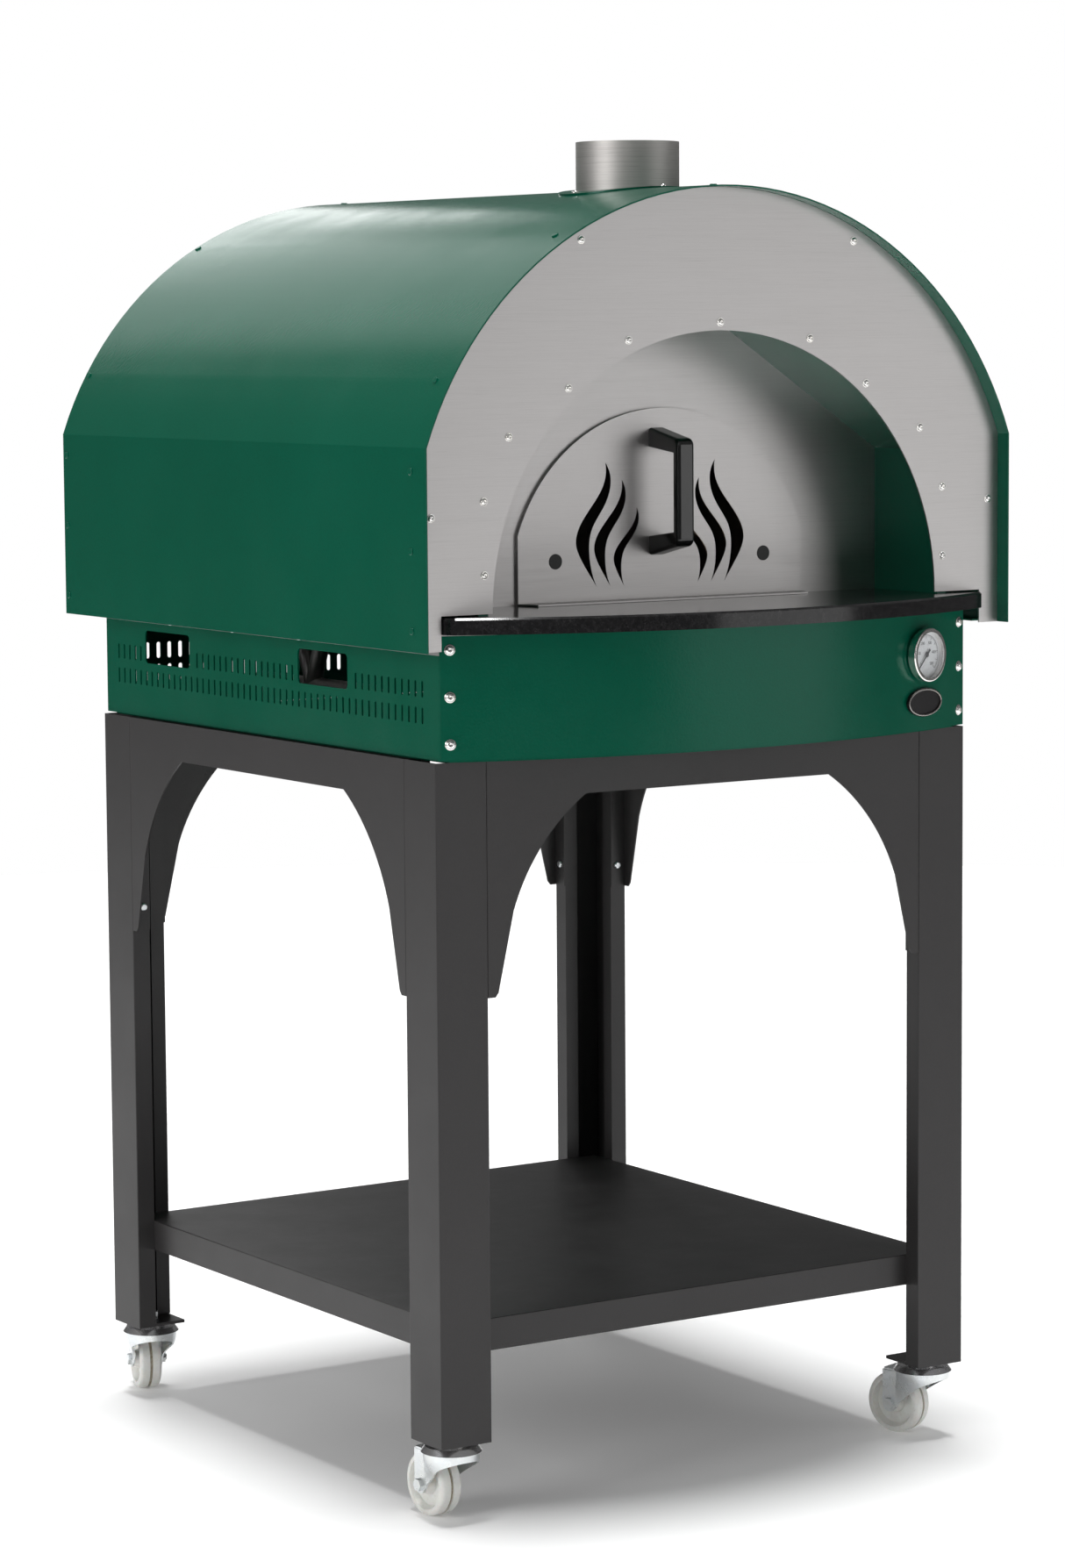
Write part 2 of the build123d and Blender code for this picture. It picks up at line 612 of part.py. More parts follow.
def make_gauge():
    back, front = 1.5, 13.0
    with BuildPart() as case:
        with BuildSketch(gauge_plane(back)):
            Circle(BEZEL_R - 2)
        extrude(amount=4)
        with BuildSketch(gauge_plane(back + 4)):
            Circle(BEZEL_R - 2)
            Circle(BEZEL_R - 4, mode=Mode.SUBTRACT)
        extrude(amount=front - back - 5)
        with BuildSketch(gauge_plane(back)):
            Circle(STEM_R)
        extrude(amount=-70)
        with BuildSketch(gauge_plane(back)):
            Circle(10)
        extrude(amount=-back)
    save(case, "gauge_case")
    with BuildPart() as bezel:
        with BuildSketch(gauge_plane(back + 3)):
            Circle(BEZEL_R)
            Circle(BEZEL_R - 1.9, mode=Mode.SUBTRACT)
        extrude(amount=front - back - 3)
        with BuildSketch(gauge_plane(front - 1)):
            Circle(BEZEL_R)
            Circle(BEZEL_R - 5, mode=Mode.SUBTRACT)
        extrude(amount=2)
        fillet(bezel.edges().filter_by(GeomType.CIRCLE).sort_by_distance(
            gauge_plane(front + 1).from_local_coords((BEZEL_R, 0, 0)))[0], 1.6)
    save(bezel, "gauge_bezel")
    with BuildPart() as dial:
        with BuildSketch(gauge_plane(back + 4)):
            Circle(BEZEL_R - 4.2)
            Circle(1.6, mode=Mode.SUBTRACT)
        extrude(amount=1)
    save(dial, "gauge_dial")
    with BuildPart() as glass:
        with BuildSketch(gauge_plane(front - 2.5)):
            Circle(BEZEL_R - 4.2)
        extrude(amount=1.5)
    save(glass, "gauge_glass")
    with BuildPart() as needle:
        with BuildSketch(gauge_plane(back + 6.2)):
            Polygon((-1.3, -9), (1.3, -9), (0.4, 24), (-0.4, 24), rotation=NEEDLE_REST, align=None)
            Circle(3.2)
        extrude(amount=0.8)
        with BuildSketch(gauge_plane(back + 4.2)):
            Circle(1.5)
        extrude(amount=2.0)
    save(needle, "gauge_needle")


def make_badge():
    """A plain oval plate with a raised rim."""
    y, outward = front_surface(BADGE_X)
    plane = Plane(origin=Vector(BADGE_X, y, BADGE_Z) + outward * 0.6,
                  x_dir=Vector(0, 0, 1).cross(outward), z_dir=outward)
    with BuildPart() as badge:
        with BuildSketch(plane):
            Ellipse(36, 18)
        extrude(amount=2.5)
        with BuildSketch(plane.offset(2.5)):
            Ellipse(36, 18)
            Ellipse(33, 15, mode=Mode.SUBTRACT)
        extrude(amount=1.2)
        with Locations(facing(plane.origin, outward)):
            Cylinder(3, 0.6, align=MAX)
    save(badge, "badge_plate")


def make_box():
    make_side_panel("box_left", -1)
    make_side_panel("box_right", 1)
    make_rails()
    make_rear_panel()
    make_front_panel()
    make_box_plates()
    make_bolts("box_bolts", front_bolt_axes(-1) + front_bolt_axes(1), bolt_part(*BOX_BOLT_HEAD, BOX_BOLT_R, 16.0))
    make_burner()
    make_gauge()
    make_badge()


# ----------------------------------------------------------------- oven

def dome_face(inset, low_z):
    """The shell's front view, this far inside its outer surface."""
    half_x, radius = HOOD_X - inset, DOME_R - inset
    spring = DOME_Z + sqrt(radius ** 2 - half_x ** 2)
    with BuildLine() as outline:
        Polyline((-half_x, spring), (-half_x, low_z), (half_x, low_z), (half_x, spring))
        ThreePointArc((half_x, spring), (0, DOME_Z + radius), (-half_x, spring))
    make_face(outline.edges())


def rivet_places(y):
    """Rivets round the shell at one end: on the dome by angle, on the sides by height."""
    dome = [facing((DOME_R * sin(radians(a)), y, DOME_Z + DOME_R * cos(radians(a))),
                   (sin(radians(a)), 0, cos(radians(a)))) for a in RIVET_ANGLES]
    sides = [facing((side * HOOD_X, y, z), (side, 0, 0)) for side in (-1, 1) for z in RIVET_Z]
    return dome + sides


def drill_rivets(rows):
    with Locations(*[place for y in rows for place in rivet_places(y)]):
        Cylinder(RIVET_R + FREE, 20, mode=Mode.SUBTRACT)


def make_shell():
    depth = HOOD_REAR - HOOD_FRONT
    with BuildPart() as shell:
        with BuildSketch(upright(HOOD_FRONT)):
            dome_face(0, HOOD_Z)
        extrude(amount=-depth)
        with BuildSketch(upright(HOOD_FRONT)):
            dome_face(SHEET, HOOD_Z - 5)
        extrude(amount=-depth, mode=Mode.SUBTRACT)
        flange_start, flange_stop = FACE_Y + RIM_FLANGE + 1, HOOD_REAR - RIM_FLANGE - 1
        for side in (-1, 1):
            with Locations((side * (HOOD_X - BOX_FLANGE / 2), (flange_start + flange_stop) / 2, HOOD_Z)):
                Box(BOX_FLANGE, flange_stop - flange_start, SHEET, align=MIN)
            with Locations(*[(side * CLIP_X, y, HOOD_Z) for y in CLIP_Y]):
                Cylinder(M6_HOLE, 3 * SHEET, mode=Mode.SUBTRACT)
        drill_rivets(RIVET_ROWS)
        with Locations((0, CHIMNEY_Y, DOME_Z)):
            Cylinder(CHIMNEY_R + 1, DOME_R + 10, align=MIN, mode=Mode.SUBTRACT)
        with Locations(*collar_screw_axes()):
            Cylinder(COLLAR_SCREW_SHANK + FREE, 12, mode=Mode.SUBTRACT)
    save(shell, "hood_shell")


def make_end_panels():
    inset = SHEET + RIM_GAP
    with BuildPart() as rear:
        with BuildSketch(upright(HOOD_REAR)):
            dome_face(inset, HOOD_Z)
        extrude(amount=RIM_FLANGE)
        with BuildSketch(upright(HOOD_REAR - SHEET)):
            dome_face(inset + SHEET, HOOD_Z - 5)
        extrude(amount=RIM_FLANGE, mode=Mode.SUBTRACT)
        drill_rivets(RIVET_ROWS[1:])
    save(rear, "hood_rear")
    with BuildPart() as face:
        with BuildSketch(upright(FACE_Y)):
            dome_face(inset, HOOD_Z)
        extrude(amount=-RIM_FLANGE)
        with BuildSketch(upright(FACE_Y + SHEET)):
            dome_face(inset + SHEET, HOOD_Z - 5)
        extrude(amount=-RIM_FLANGE, mode=Mode.SUBTRACT)
        with BuildSketch(upright(FACE_Y)):
            with Locations((0, MOUTH_Z)):
                Circle(MOUTH_R)
            with Locations((0, (HOOD_Z + MOUTH_Z) / 2)):
                Rectangle(2 * (STONE_X + 2), MOUTH_Z - HOOD_Z)
            with Locations(*[(side * x, z) for side in (-1, 1) for x, z in RING_SCREWS + OUTER_SCREWS],
                           TOP_SCREW):
                Circle(SCREW_R + FREE)
        extrude(amount=-SHEET, mode=Mode.SUBTRACT)
        drill_rivets(RIVET_ROWS[:1])
    save(face, "face_panel")


def make_shell_fasteners():
    tail = 6.2
    with BuildPart() as rivet:
        add(bolt_part(4.5, 1.8, RIVET_R, tail))
        with Locations((0, 0, -tail)):
            Cylinder(4, 1.5, align=MIN)
    make_bolts("hood_rivets", [place for y in RIVET_ROWS for place in rivet_places(y)], rivet.part)
    screws = [(side * x, z) for side in (-1, 1) for x, z in RING_SCREWS + OUTER_SCREWS] + [TOP_SCREW]
    make_bolts("face_screws", [facing((x, FACE_Y, z), (0, -1, 0)) for x, z in screws],
               bolt_part(5.3, 3.0, SCREW_R, 9.0))
    places = [facing((side * CLIP_X, y, HOOD_Z), (0, 0, -1)) for side in (-1, 1) for y in CLIP_Y]
    make_bolts("clip_bolts", places, bolt_part(4.8, 3.0, M6_SHANK, 11.0),
               nut_part(5.0, 4.0, M6_SHANK, 2 * SHEET))


def make_sill():
    """Granite sill: arched front, rounded corners, a small bevel, three drilled pinholes."""
    with BuildPart() as sill:
        with BuildSketch(Plane.XY.offset(BOX_TOP)) as slab:
            arched_face(STONE_X, STONE_REAR_Y, STONE_END_Y, STONE_FRONT_Y)
            fillet(slab.vertices().group_by(Axis.Y)[0], STONE_CORNER)
        extrude(amount=STONE_TOP - BOX_TOP)
        top = sill.faces().sort_by(Axis.Z)[-1].edges()
        chamfer(top.filter_by(lambda edge: edge.center().Y < STONE_END_Y + 10), STONE_BEVEL)
        with Locations(*[(x, PINHOLE_Y, STONE_TOP) for x in PINHOLE_X]):
            Cylinder(PINHOLE_R, 12, mode=Mode.SUBTRACT)
    save(sill, "stone_sill")


def porch_points(grow):
    """Half of the porch outline, grown outwards by this much, from foot to crown."""
    slope = radians(PORCH_SLOPE)
    corner_z = PORCH_SIDE_Z + grow * (1 - sin(slope)) / cos(slope)
    crown_x = PORCH_X + (grow - (PORCH_TOP + grow - PORCH_SIDE_Z) * cos(slope)) / sin(slope)
    return [(PORCH_X + grow, STONE_TOP), (PORCH_X + grow, corner_z), (crown_x, PORCH_TOP + grow)]


def porch_face(grow, low_z=STONE_TOP, mode=Mode.ADD):
    right = [(x, max(z, STONE_TOP)) for x, z in porch_points(grow)]
    right[0] = (right[0][0], low_z)
    left = [(-x, z) for x, z in reversed(right)]
    Polygon(*right, *left, align=None, mode=mode)


def make_porch():
    flange = 12.0
    with BuildPart() as lining:
        with BuildSketch(upright(PORCH_REAR)):
            porch_face(SHEET)
            porch_face(0, STONE_TOP - 5, Mode.SUBTRACT)
        extrude(amount=PORCH_REAR - FACE_Y - SHEET)
        with BuildSketch(upright(FACE_Y + SHEET)):
            porch_face(SHEET + flange)
            porch_face(0, STONE_TOP - 5, Mode.SUBTRACT)
            with Locations(*[(side * x, z) for side in (-1, 1) for x, z in RING_SCREWS], TOP_SCREW):
                Circle(SCREW_R + FREE, mode=Mode.SUBTRACT)
        extrude(amount=-SHEET)
    save(lining, "porch_lining")
    with BuildPart() as wall:
        with BuildSketch(upright(PORCH_REAR)):
            porch_face(SHEET)
            door_face(MOUTH_INSET, STONE_TOP, Mode.SUBTRACT)
        extrude(amount=-SHEET)
    save(wall, "chamber_front")


def door_face(inset, low_z, mode=Mode.ADD):
    """The door's arched outline, this far inside its edge."""
    half_x = DOOR_X - inset
    rise = DOOR_TOP - DOOR_SPRING
    radius = (DOOR_X ** 2 + rise ** 2) / (2 * rise)
    centre_z = DOOR_TOP - radius
    spring = centre_z + sqrt((radius - inset) ** 2 - half_x ** 2)
    with BuildLine() as outline:
        Polyline((-half_x, spring), (-half_x, low_z), (half_x, low_z), (half_x, spring))
        ThreePointArc((half_x, spring), (0, DOOR_TOP - inset), (-half_x, spring))
    make_face(outline.edges(), mode=mode)


def make_chamber():
    start = PORCH_REAR + SHEET
    with BuildPart() as vault:
        with BuildSketch(upright(start)):
            with Locations((0, STONE_TOP)):
                Circle(VAULT_R)
                Circle(VAULT_R - SHEET, mode=Mode.SUBTRACT)
            with Locations((0, STONE_TOP - VAULT_R)):
                Rectangle(2 * VAULT_R, 2 * VAULT_R, mode=Mode.SUBTRACT)
        extrude(amount=-(VAULT_REAR - start))
        with Locations((0, CHIMNEY_Y, STONE_TOP)):
            Cylinder(CHIMNEY_R + 0.5, VAULT_R + 10, align=MIN, mode=Mode.SUBTRACT)
    save(vault, "vault_lining")
    with BuildPart() as blanket:
        with BuildSketch(upright(CHIMNEY_Y - 50)):
            with Locations((0, STONE_TOP)):
                Circle(VAULT_R + BLANKET)
            with Locations((0, STONE_TOP - VAULT_R)):
                Rectangle(2 * VAULT_R + 2 * BLANKET, 2 * VAULT_R, mode=Mode.SUBTRACT)
            with Locations((0, (STONE_TOP + BOX_TOP) / 2)):
                Rectangle(2 * (VAULT_R + BLANKET), STONE_TOP - BOX_TOP)
            with Locations((0, STONE_TOP)):
                Circle(VAULT_R + 0.3, mode=Mode.SUBTRACT)
            with Locations((0, (STONE_TOP + BOX_TOP) / 2)):
                Rectangle(2 * VAULT_R + 6, STONE_TOP - BOX_TOP, mode=Mode.SUBTRACT)
        extrude(amount=-(VAULT_REAR - CHIMNEY_Y + 50))
        with Locations((0, CHIMNEY_Y, STONE_TOP)):
            Cylinder(CHIMNEY_R + 1, VAULT_R + BLANKET + 10, align=MIN, mode=Mode.SUBTRACT)
    save(blanket, "vault_blanket")
    with BuildPart() as back:
        with BuildSketch(upright(VAULT_REAR)):
            with Locations((0, STONE_TOP)):
                Circle(VAULT_R)
            with Locations((0, STONE_TOP - VAULT_R)):
                Rectangle(2 * VAULT_R, 2 * VAULT_R, mode=Mode.SUBTRACT)
        extrude(amount=-SHEET)
    save(back, "chamber_back")
    with BuildPart() as tile:
        front, rear = STONE_REAR_Y + 1, VAULT_REAR + SHEET
        with Locations((0, (front + rear) / 2, BOX_TOP)):
            Box(2 * VAULT_R + 4, rear - front, STONE_TOP - BOX_TOP, align=MIN)
        with Locations(*[(BURNER_X, BURNER_Y + side * (RISER_SPREAD + 5), BOX_TOP) for side in (-1, 1)]):
            Cylinder(RISER_HOLE, STONE_TOP - BOX_TOP, align=MIN, mode=Mode.SUBTRACT)
    save(tile, "hearth_tile")


def flame_slot(side, foot_x, height, lean):
    """One flame-shaped air slot, from its foot to its tip; the tip leans towards the middle."""
    def place(u, v):
        return (PATTERN_X + side * (foot_x + (u + lean * v) * height), FLAME_Z + v * height)
    with BuildLine() as outline:
        Spline(*[place(u, v) for u, v in FLAME_OUTER])
        Spline(*[place(u, v) for u, v in FLAME_INNER])
    make_face(outline.edges(), mode=Mode.SUBTRACT)


def make_handle():
    """A bow handle: two sloping legs and a bar, rounded outside, crisper inside."""
    def outline(half):
        return [(s, -z) for s, z in half] + [(s, z) for s, z in reversed(half)]
    profile = Plane(origin=(HANDLE_X + HANDLE_W / 2, DOOR_FRONT, HANDLE_Z), x_dir=(0, -1, 0), z_dir=(-1, 0, 0))
    with BuildPart() as handle:
        with BuildSketch(profile) as bow:
            Polygon(*outline(HANDLE_OUTER), align=None)
            fillet(bow.vertices().filter_by(lambda corner: corner.X > 1), 2 * HANDLE_ROUND)
        extrude(amount=HANDLE_W)
        fillet(handle.faces().filter_by(Axis.X).edges().filter_by(lambda edge: edge.center().Y < DOOR_FRONT - 1),
               HANDLE_ROUND)
        with BuildSketch(profile):
            Polygon(*outline(HANDLE_INNER), align=None)
        extrude(amount=HANDLE_W, mode=Mode.SUBTRACT)
        opening = handle.edges(Select.LAST).filter_by(lambda edge: edge.center().Y < DOOR_FRONT - 1)
        fillet(opening.filter_by(Axis.X, reverse=True), HANDLE_ROUND / 4)
    save(handle, "door_handle")


def make_door():
    plug_x, plug_z, plug_r = PLUG
    with BuildPart() as leaf:
        with BuildSketch(upright(DOOR_FRONT)):
            door_face(0, DOOR_Z)
            for side in (-1, 1):
                for foot_x, height, lean in FLAMES:
                    flame_slot(side, foot_x, height, lean)
            with Locations(*[(PATTERN_X + side * plug_x, plug_z) for side in (-1, 1)]):
                Circle(plug_r + 0.1, mode=Mode.SUBTRACT)
        extrude(amount=-DOOR_T)
        with BuildSketch(upright(DOOR_FRONT)):
            door_face(0, DOOR_Z)
            door_face(DOOR_T, DOOR_Z + DOOR_T, Mode.SUBTRACT)
        extrude(amount=DOOR_FRONT - DOOR_BACK)
        with BuildSketch(Plane.XY.offset(DOOR_Z)):
            Polygon((-DOOR_X, DOOR_FRONT), (-DOOR_X + 10, DOOR_FRONT - DOOR_FOOT),
                    (DOOR_X - 10, DOOR_FRONT - DOOR_FOOT), (DOOR_X, DOOR_FRONT), align=None)
        extrude(amount=DOOR_T)
    save(leaf, "door_leaf")
    with BuildPart() as plugs:
        for side in (-1, 1):
            with Locations(facing((PATTERN_X + side * plug_x, DOOR_FRONT + DOOR_T, plug_z), (0, -1, 0))):
                Cylinder(plug_r, DOOR_T + 0.5, align=MIN)
    save(plugs, "door_plugs")
    make_handle()


def collar_screw_axes():
    """Four screws round the chimney, square to the roof."""
    axes = []
    for x, y in ((0, -1), (1, 0), (0, 1), (-1, 0)):
        along = x * COLLAR_SCREW_R
        height = sqrt((DOME_R + COLLAR_GAP + SHEET) ** 2 - along ** 2)
        axes.append(facing((along, CHIMNEY_Y + y * COLLAR_SCREW_R, DOME_Z + height), (along, 0, height)))
    return axes


def make_chimney():
    pipe_z = STONE_TOP + VAULT_R - 10
    with BuildPart() as pipe:
        with Locations((0, CHIMNEY_Y, pipe_z)):
            Cylinder(CHIMNEY_R, CHIMNEY_TOP - pipe_z, align=MIN)
            Cylinder(CHIMNEY_R - 1.5, CHIMNEY_TOP - pipe_z, align=MIN, mode=Mode.SUBTRACT)
    save(pipe, "chimney_pipe")
    inner = DOME_R + COLLAR_GAP
    with BuildPart() as collar:
        with BuildSketch(upright(CHIMNEY_Y - COLLAR_R - 5)):
            with Locations((0, DOME_Z)):
                Circle(inner + SHEET)
                Circle(inner, mode=Mode.SUBTRACT)
        extrude(amount=-2 * (COLLAR_R + 5))
        with Locations((0, CHIMNEY_Y, DOME_Z)):
            Cylinder(COLLAR_R, DOME_R + 20, align=MIN, mode=Mode.INTERSECT)
            Cylinder(CHIMNEY_R + 0.2, DOME_R + 20, align=MIN, mode=Mode.SUBTRACT)
        with Locations(*collar_screw_axes()):
            Cylinder(COLLAR_SCREW_SHANK + FREE, 12, mode=Mode.SUBTRACT)
    save(collar, "roof_collar")
    make_bolts("collar_screws", collar_screw_axes(), bolt_part(4.2, 2.6, COLLAR_SCREW_SHANK, 9.0))


make_stand()
make_castors()
make_box()
make_shell()
make_end_panels()
make_shell_fasteners()
make_sill()
make_porch()
make_chamber()
make_door()
make_chimney()
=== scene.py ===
import json
from math import asin, cos, pi, radians, sin, sqrt

import bmesh
import bpy
from mathutils import Matrix, Vector


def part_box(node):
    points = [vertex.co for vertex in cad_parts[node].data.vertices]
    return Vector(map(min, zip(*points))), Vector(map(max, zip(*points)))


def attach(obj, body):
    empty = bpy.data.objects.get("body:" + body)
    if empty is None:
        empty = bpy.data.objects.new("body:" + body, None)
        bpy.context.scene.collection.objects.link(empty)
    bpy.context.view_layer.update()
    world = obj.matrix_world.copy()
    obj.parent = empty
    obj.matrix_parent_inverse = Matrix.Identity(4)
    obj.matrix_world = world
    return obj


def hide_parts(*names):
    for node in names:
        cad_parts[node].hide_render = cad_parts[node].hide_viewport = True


# Looks for the domed pizza oven. Metres, +Z up, the oven's mouth faces -Y.

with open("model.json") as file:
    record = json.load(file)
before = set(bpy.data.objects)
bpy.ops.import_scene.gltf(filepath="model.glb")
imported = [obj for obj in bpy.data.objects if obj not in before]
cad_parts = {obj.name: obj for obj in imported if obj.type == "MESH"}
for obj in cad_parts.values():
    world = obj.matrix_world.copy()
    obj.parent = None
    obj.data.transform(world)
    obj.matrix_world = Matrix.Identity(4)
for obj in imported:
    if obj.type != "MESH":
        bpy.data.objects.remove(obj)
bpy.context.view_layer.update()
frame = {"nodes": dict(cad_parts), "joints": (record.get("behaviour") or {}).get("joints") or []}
NODES = frame["nodes"]
CORNERS = ("fl", "fr", "rl", "rr")
MM = 0.001


# ------------------------------------------------------------ node helpers

class Paint:
    """A material under construction: short calls that add and join shader nodes."""

    def __init__(self, name):
        self.material = bpy.data.materials.new(name)
        self.material.use_nodes = True
        self.tree = self.material.node_tree
        self.shader = self.tree.nodes["Principled BSDF"]
        self.place = self.tree.nodes.new("ShaderNodeTexCoord").outputs["Object"]

    def node(self, kind, **values):
        made = self.tree.nodes.new(kind)
        for key, value in values.items():
            setattr(made, key, value)
        return made

    def join(self, value, socket):
        if isinstance(value, bpy.types.NodeSocket):
            self.tree.links.new(value, socket)
        else:
            socket.default_value = value

    def set(self, **values):
        """Sets or joins the shader's sockets; an underscore stands for a space."""
        for key, value in values.items():
            self.join(value, self.shader.inputs[key.replace("_", " ")])
        return self

    def stretched(self, x, y, z):
        """The object's own coordinates, stretched along each axis."""
        mapping = self.node("ShaderNodeMapping")
        mapping.inputs["Scale"].default_value = (x, y, z)
        self.join(self.place, mapping.inputs["Vector"])
        return mapping.outputs["Vector"]

    def noise(self, scale, detail=4.0, rough=0.55, at=None):
        made = self.node("ShaderNodeTexNoise")
        made.inputs["Scale"].default_value = scale
        made.inputs["Detail"].default_value = detail
        made.inputs["Roughness"].default_value = rough
        self.join(at or self.place, made.inputs["Vector"])
        return made.outputs["Fac"]

    def cells(self, scale):
        made = self.node("ShaderNodeTexVoronoi")
        made.inputs["Scale"].default_value = scale
        self.join(self.place, made.inputs["Vector"])
        return made.outputs["Distance"]

    def ramp(self, value, low, high, start=0.0, stop=1.0):
        """Maps low..high to start..stop, clamped."""
        made = self.node("ShaderNodeMapRange")
        self.join(value, made.inputs["Value"])
        for key, number in zip(("From Min", "From Max", "To Min", "To Max"), (low, high, start, stop)):
            self.join(number, made.inputs[key])
        return made.outputs["Result"]

    def sum(self, operation, a, b):
        made = self.node("ShaderNodeMath", operation=operation)
        self.join(a, made.inputs[0])
        self.join(b, made.inputs[1])
        return made.outputs[0]

    def mix(self, factor, a, b):
        made = self.node("ShaderNodeMix", data_type="RGBA")
        self.join(factor, made.inputs["Factor"])
        self.join(colour(a), made.inputs["A"])
        self.join(colour(b), made.inputs["B"])
        return made.outputs["Result"]

    def bump(self, height, distance, strength=1.0, normal=None):
        made = self.node("ShaderNodeBump")
        made.inputs["Distance"].default_value = distance
        made.inputs["Strength"].default_value = strength
        self.join(height, made.inputs["Height"])
        if normal is not None:
            self.join(normal, made.inputs["Normal"])
        return made.outputs["Normal"]


def colour(value):
    if isinstance(value, (tuple, list)) and len(value) == 3:
        return (*value, 1.0)
    return value


# ---------------------------------------------------------------- materials

def powder_coat(name, base, light, roughness, peel, gloss=0.3, tint=(1.0, 1.0, 1.0)):
    """Baked powder paint: an orange-peel skin, faint clouding and a slightly duller film in places."""
    p = Paint(name)
    cloud = p.noise(2.2, 5, 0.6)
    grain = p.noise(420, 3, 0.6)
    tone = p.mix(p.ramp(cloud, 0.35, 0.68), base, light)
    tone = p.mix(p.ramp(grain, 0.45, 0.75, 0.0, 0.16), tone, tuple(c * 0.45 for c in base))
    film = p.ramp(p.noise(9, 4, 0.6), 0.3, 0.7, roughness - 0.03, roughness + 0.05)
    skin = p.bump(p.noise(peel, 2, 0.5), 0.0004, 0.3)
    skin = p.bump(p.noise(peel * 0.3, 2, 0.5), 0.0003, 0.06, skin)
    rubbed = p.ramp(p.noise(1, 5, 0.75, p.stretched(38, 38, 9)), 0.62, 0.8, 0.0, 0.14)
    tone = p.mix(rubbed, tone, tuple(c * 1.5 + 0.006 for c in base))
    p.set(Base_Color=tone, Roughness=film, Normal=skin, Specular_IOR_Level=gloss,
          Specular_Tint=(*tint, 1.0))
    return p.material


def brushed_steel(name, along, tone, roughness=0.27, streak=1.0):
    """Brushed stainless steel: along names the grain's axes, streak deepens its bands and scratches."""
    p = Paint(name)
    fine = [26 if axis in along else 3400 for axis in "xyz"]
    broad = [7 if axis in along else 900 for axis in "xyz"]
    lines = p.noise(1, 3, 0.6, p.stretched(*fine))
    bands = p.noise(1, 3, 0.6, p.stretched(*broad))
    stain = p.noise(3.1, 4, 0.6)
    dark, bright = tuple(c * 0.955 for c in tone), tuple(min(1, c * 1.04) for c in tone)
    metal = p.mix(p.ramp(lines, 0.3, 0.7), dark, bright)
    metal = p.mix(p.ramp(bands, 0.5, 0.72, 0.0, 0.10 * streak), metal, tuple(c * 0.6 for c in tone))
    metal = p.mix(p.ramp(stain, 0.4, 0.75, 0.0, 0.10), metal,
                  (tone[0] * 0.83, tone[1] * 0.81, tone[2] * 0.78))
    rough = p.sum("ADD", p.ramp(lines, 0.3, 0.7, -0.03, 0.03),
                  p.ramp(bands, 0.35, 0.7, roughness, roughness + 0.03))
    scratch = p.noise(1, 2, 0.5, p.stretched(*[16 if axis in along else 1900 for axis in "xyz"]))
    metal = p.mix(p.ramp(scratch, 0.66, 0.72, 0.0, 0.12 * streak), metal, tuple(c * 0.12 for c in tone))
    p.set(Base_Color=metal, Metallic=1.0, Roughness=rough, Normal=p.bump(lines, 0.00005, 0.25))
    return p.material


def plated(name, tone, roughness):
    """Zinc or nickel plate: soft crystalline patches, a faint yellow passivation and fine pitting."""
    p = Paint(name)
    patch = p.cells(260)
    cloud = p.noise(45, 4, 0.6)
    warm = (tone[0] * 1.01, tone[1] * 0.99, tone[2] * 0.94)
    metal = p.mix(p.ramp(cloud, 0.4, 0.7), tone, warm)
    metal = p.mix(p.ramp(patch, 0.1, 0.7, 0.0, 0.12), metal, tuple(c * 0.8 for c in tone))
    rough = p.ramp(p.noise(130, 4, 0.6), 0.3, 0.7, roughness * 0.8, roughness * 1.4)
    p.set(Base_Color=metal, Metallic=1.0, Roughness=rough, Normal=p.bump(p.noise(900, 2), 0.0001, 0.25))
    return p.material


def granite():
    """Polished black granite with grey and white flecks; the flecks are a little rougher."""
    p = Paint("black_granite")
    fleck = p.ramp(p.cells(620), 0.0, 0.16, 1.0, 0.0)
    sparse = p.ramp(p.noise(95, 2, 0.5), 0.52, 0.6)
    flecks = p.sum("MULTIPLY", fleck, sparse)
    cloud = p.ramp(p.noise(160, 5, 0.7), 0.4, 0.75)
    body = p.mix(cloud, (0.006, 0.006, 0.0065), (0.024, 0.023, 0.024))
    tone = p.mix(flecks, body, (0.33, 0.32, 0.31))
    rough = p.ramp(flecks, 0.0, 1.0, 0.13, 0.34)
    p.set(Base_Color=tone, Roughness=rough, Normal=p.bump(p.noise(700, 3), 0.00006, 0.3))
    return p.material


def refractory():
    p = Paint("hearth_stone")
    pores = p.ramp(p.cells(210), 0.0, 0.22, 1.0, 0.0)
    cloud = p.noise(12, 6, 0.65)
    soot = p.ramp(p.noise(4.5, 4, 0.6), 0.48, 0.72, 0.0, 0.5)
    tone = p.mix(p.ramp(cloud, 0.3, 0.7), (0.42, 0.31, 0.22), (0.58, 0.47, 0.36))
    tone = p.mix(soot, tone, (0.07, 0.055, 0.045))
    # The pores are painted darker than the stone: painted shade in the hollows.
    tone = p.mix(pores, tone, (0.2, 0.15, 0.11))
    skin = p.bump(p.sum("SUBTRACT", p.noise(300, 5, 0.7), pores), 0.0012, 0.6)
    p.set(Base_Color=tone, Roughness=0.93, Normal=skin)
    return p.material


def fibre():
    p = Paint("fibre_blanket")
    wool = p.noise(1, 6, 0.75, p.stretched(420, 90, 420))
    tone = p.mix(p.ramp(wool, 0.3, 0.7), (0.62, 0.6, 0.56), (0.84, 0.83, 0.8))
    p.set(Base_Color=tone, Roughness=1.0, Sheen_Weight=0.4, Normal=p.bump(wool, 0.003, 0.7))
    return p.material


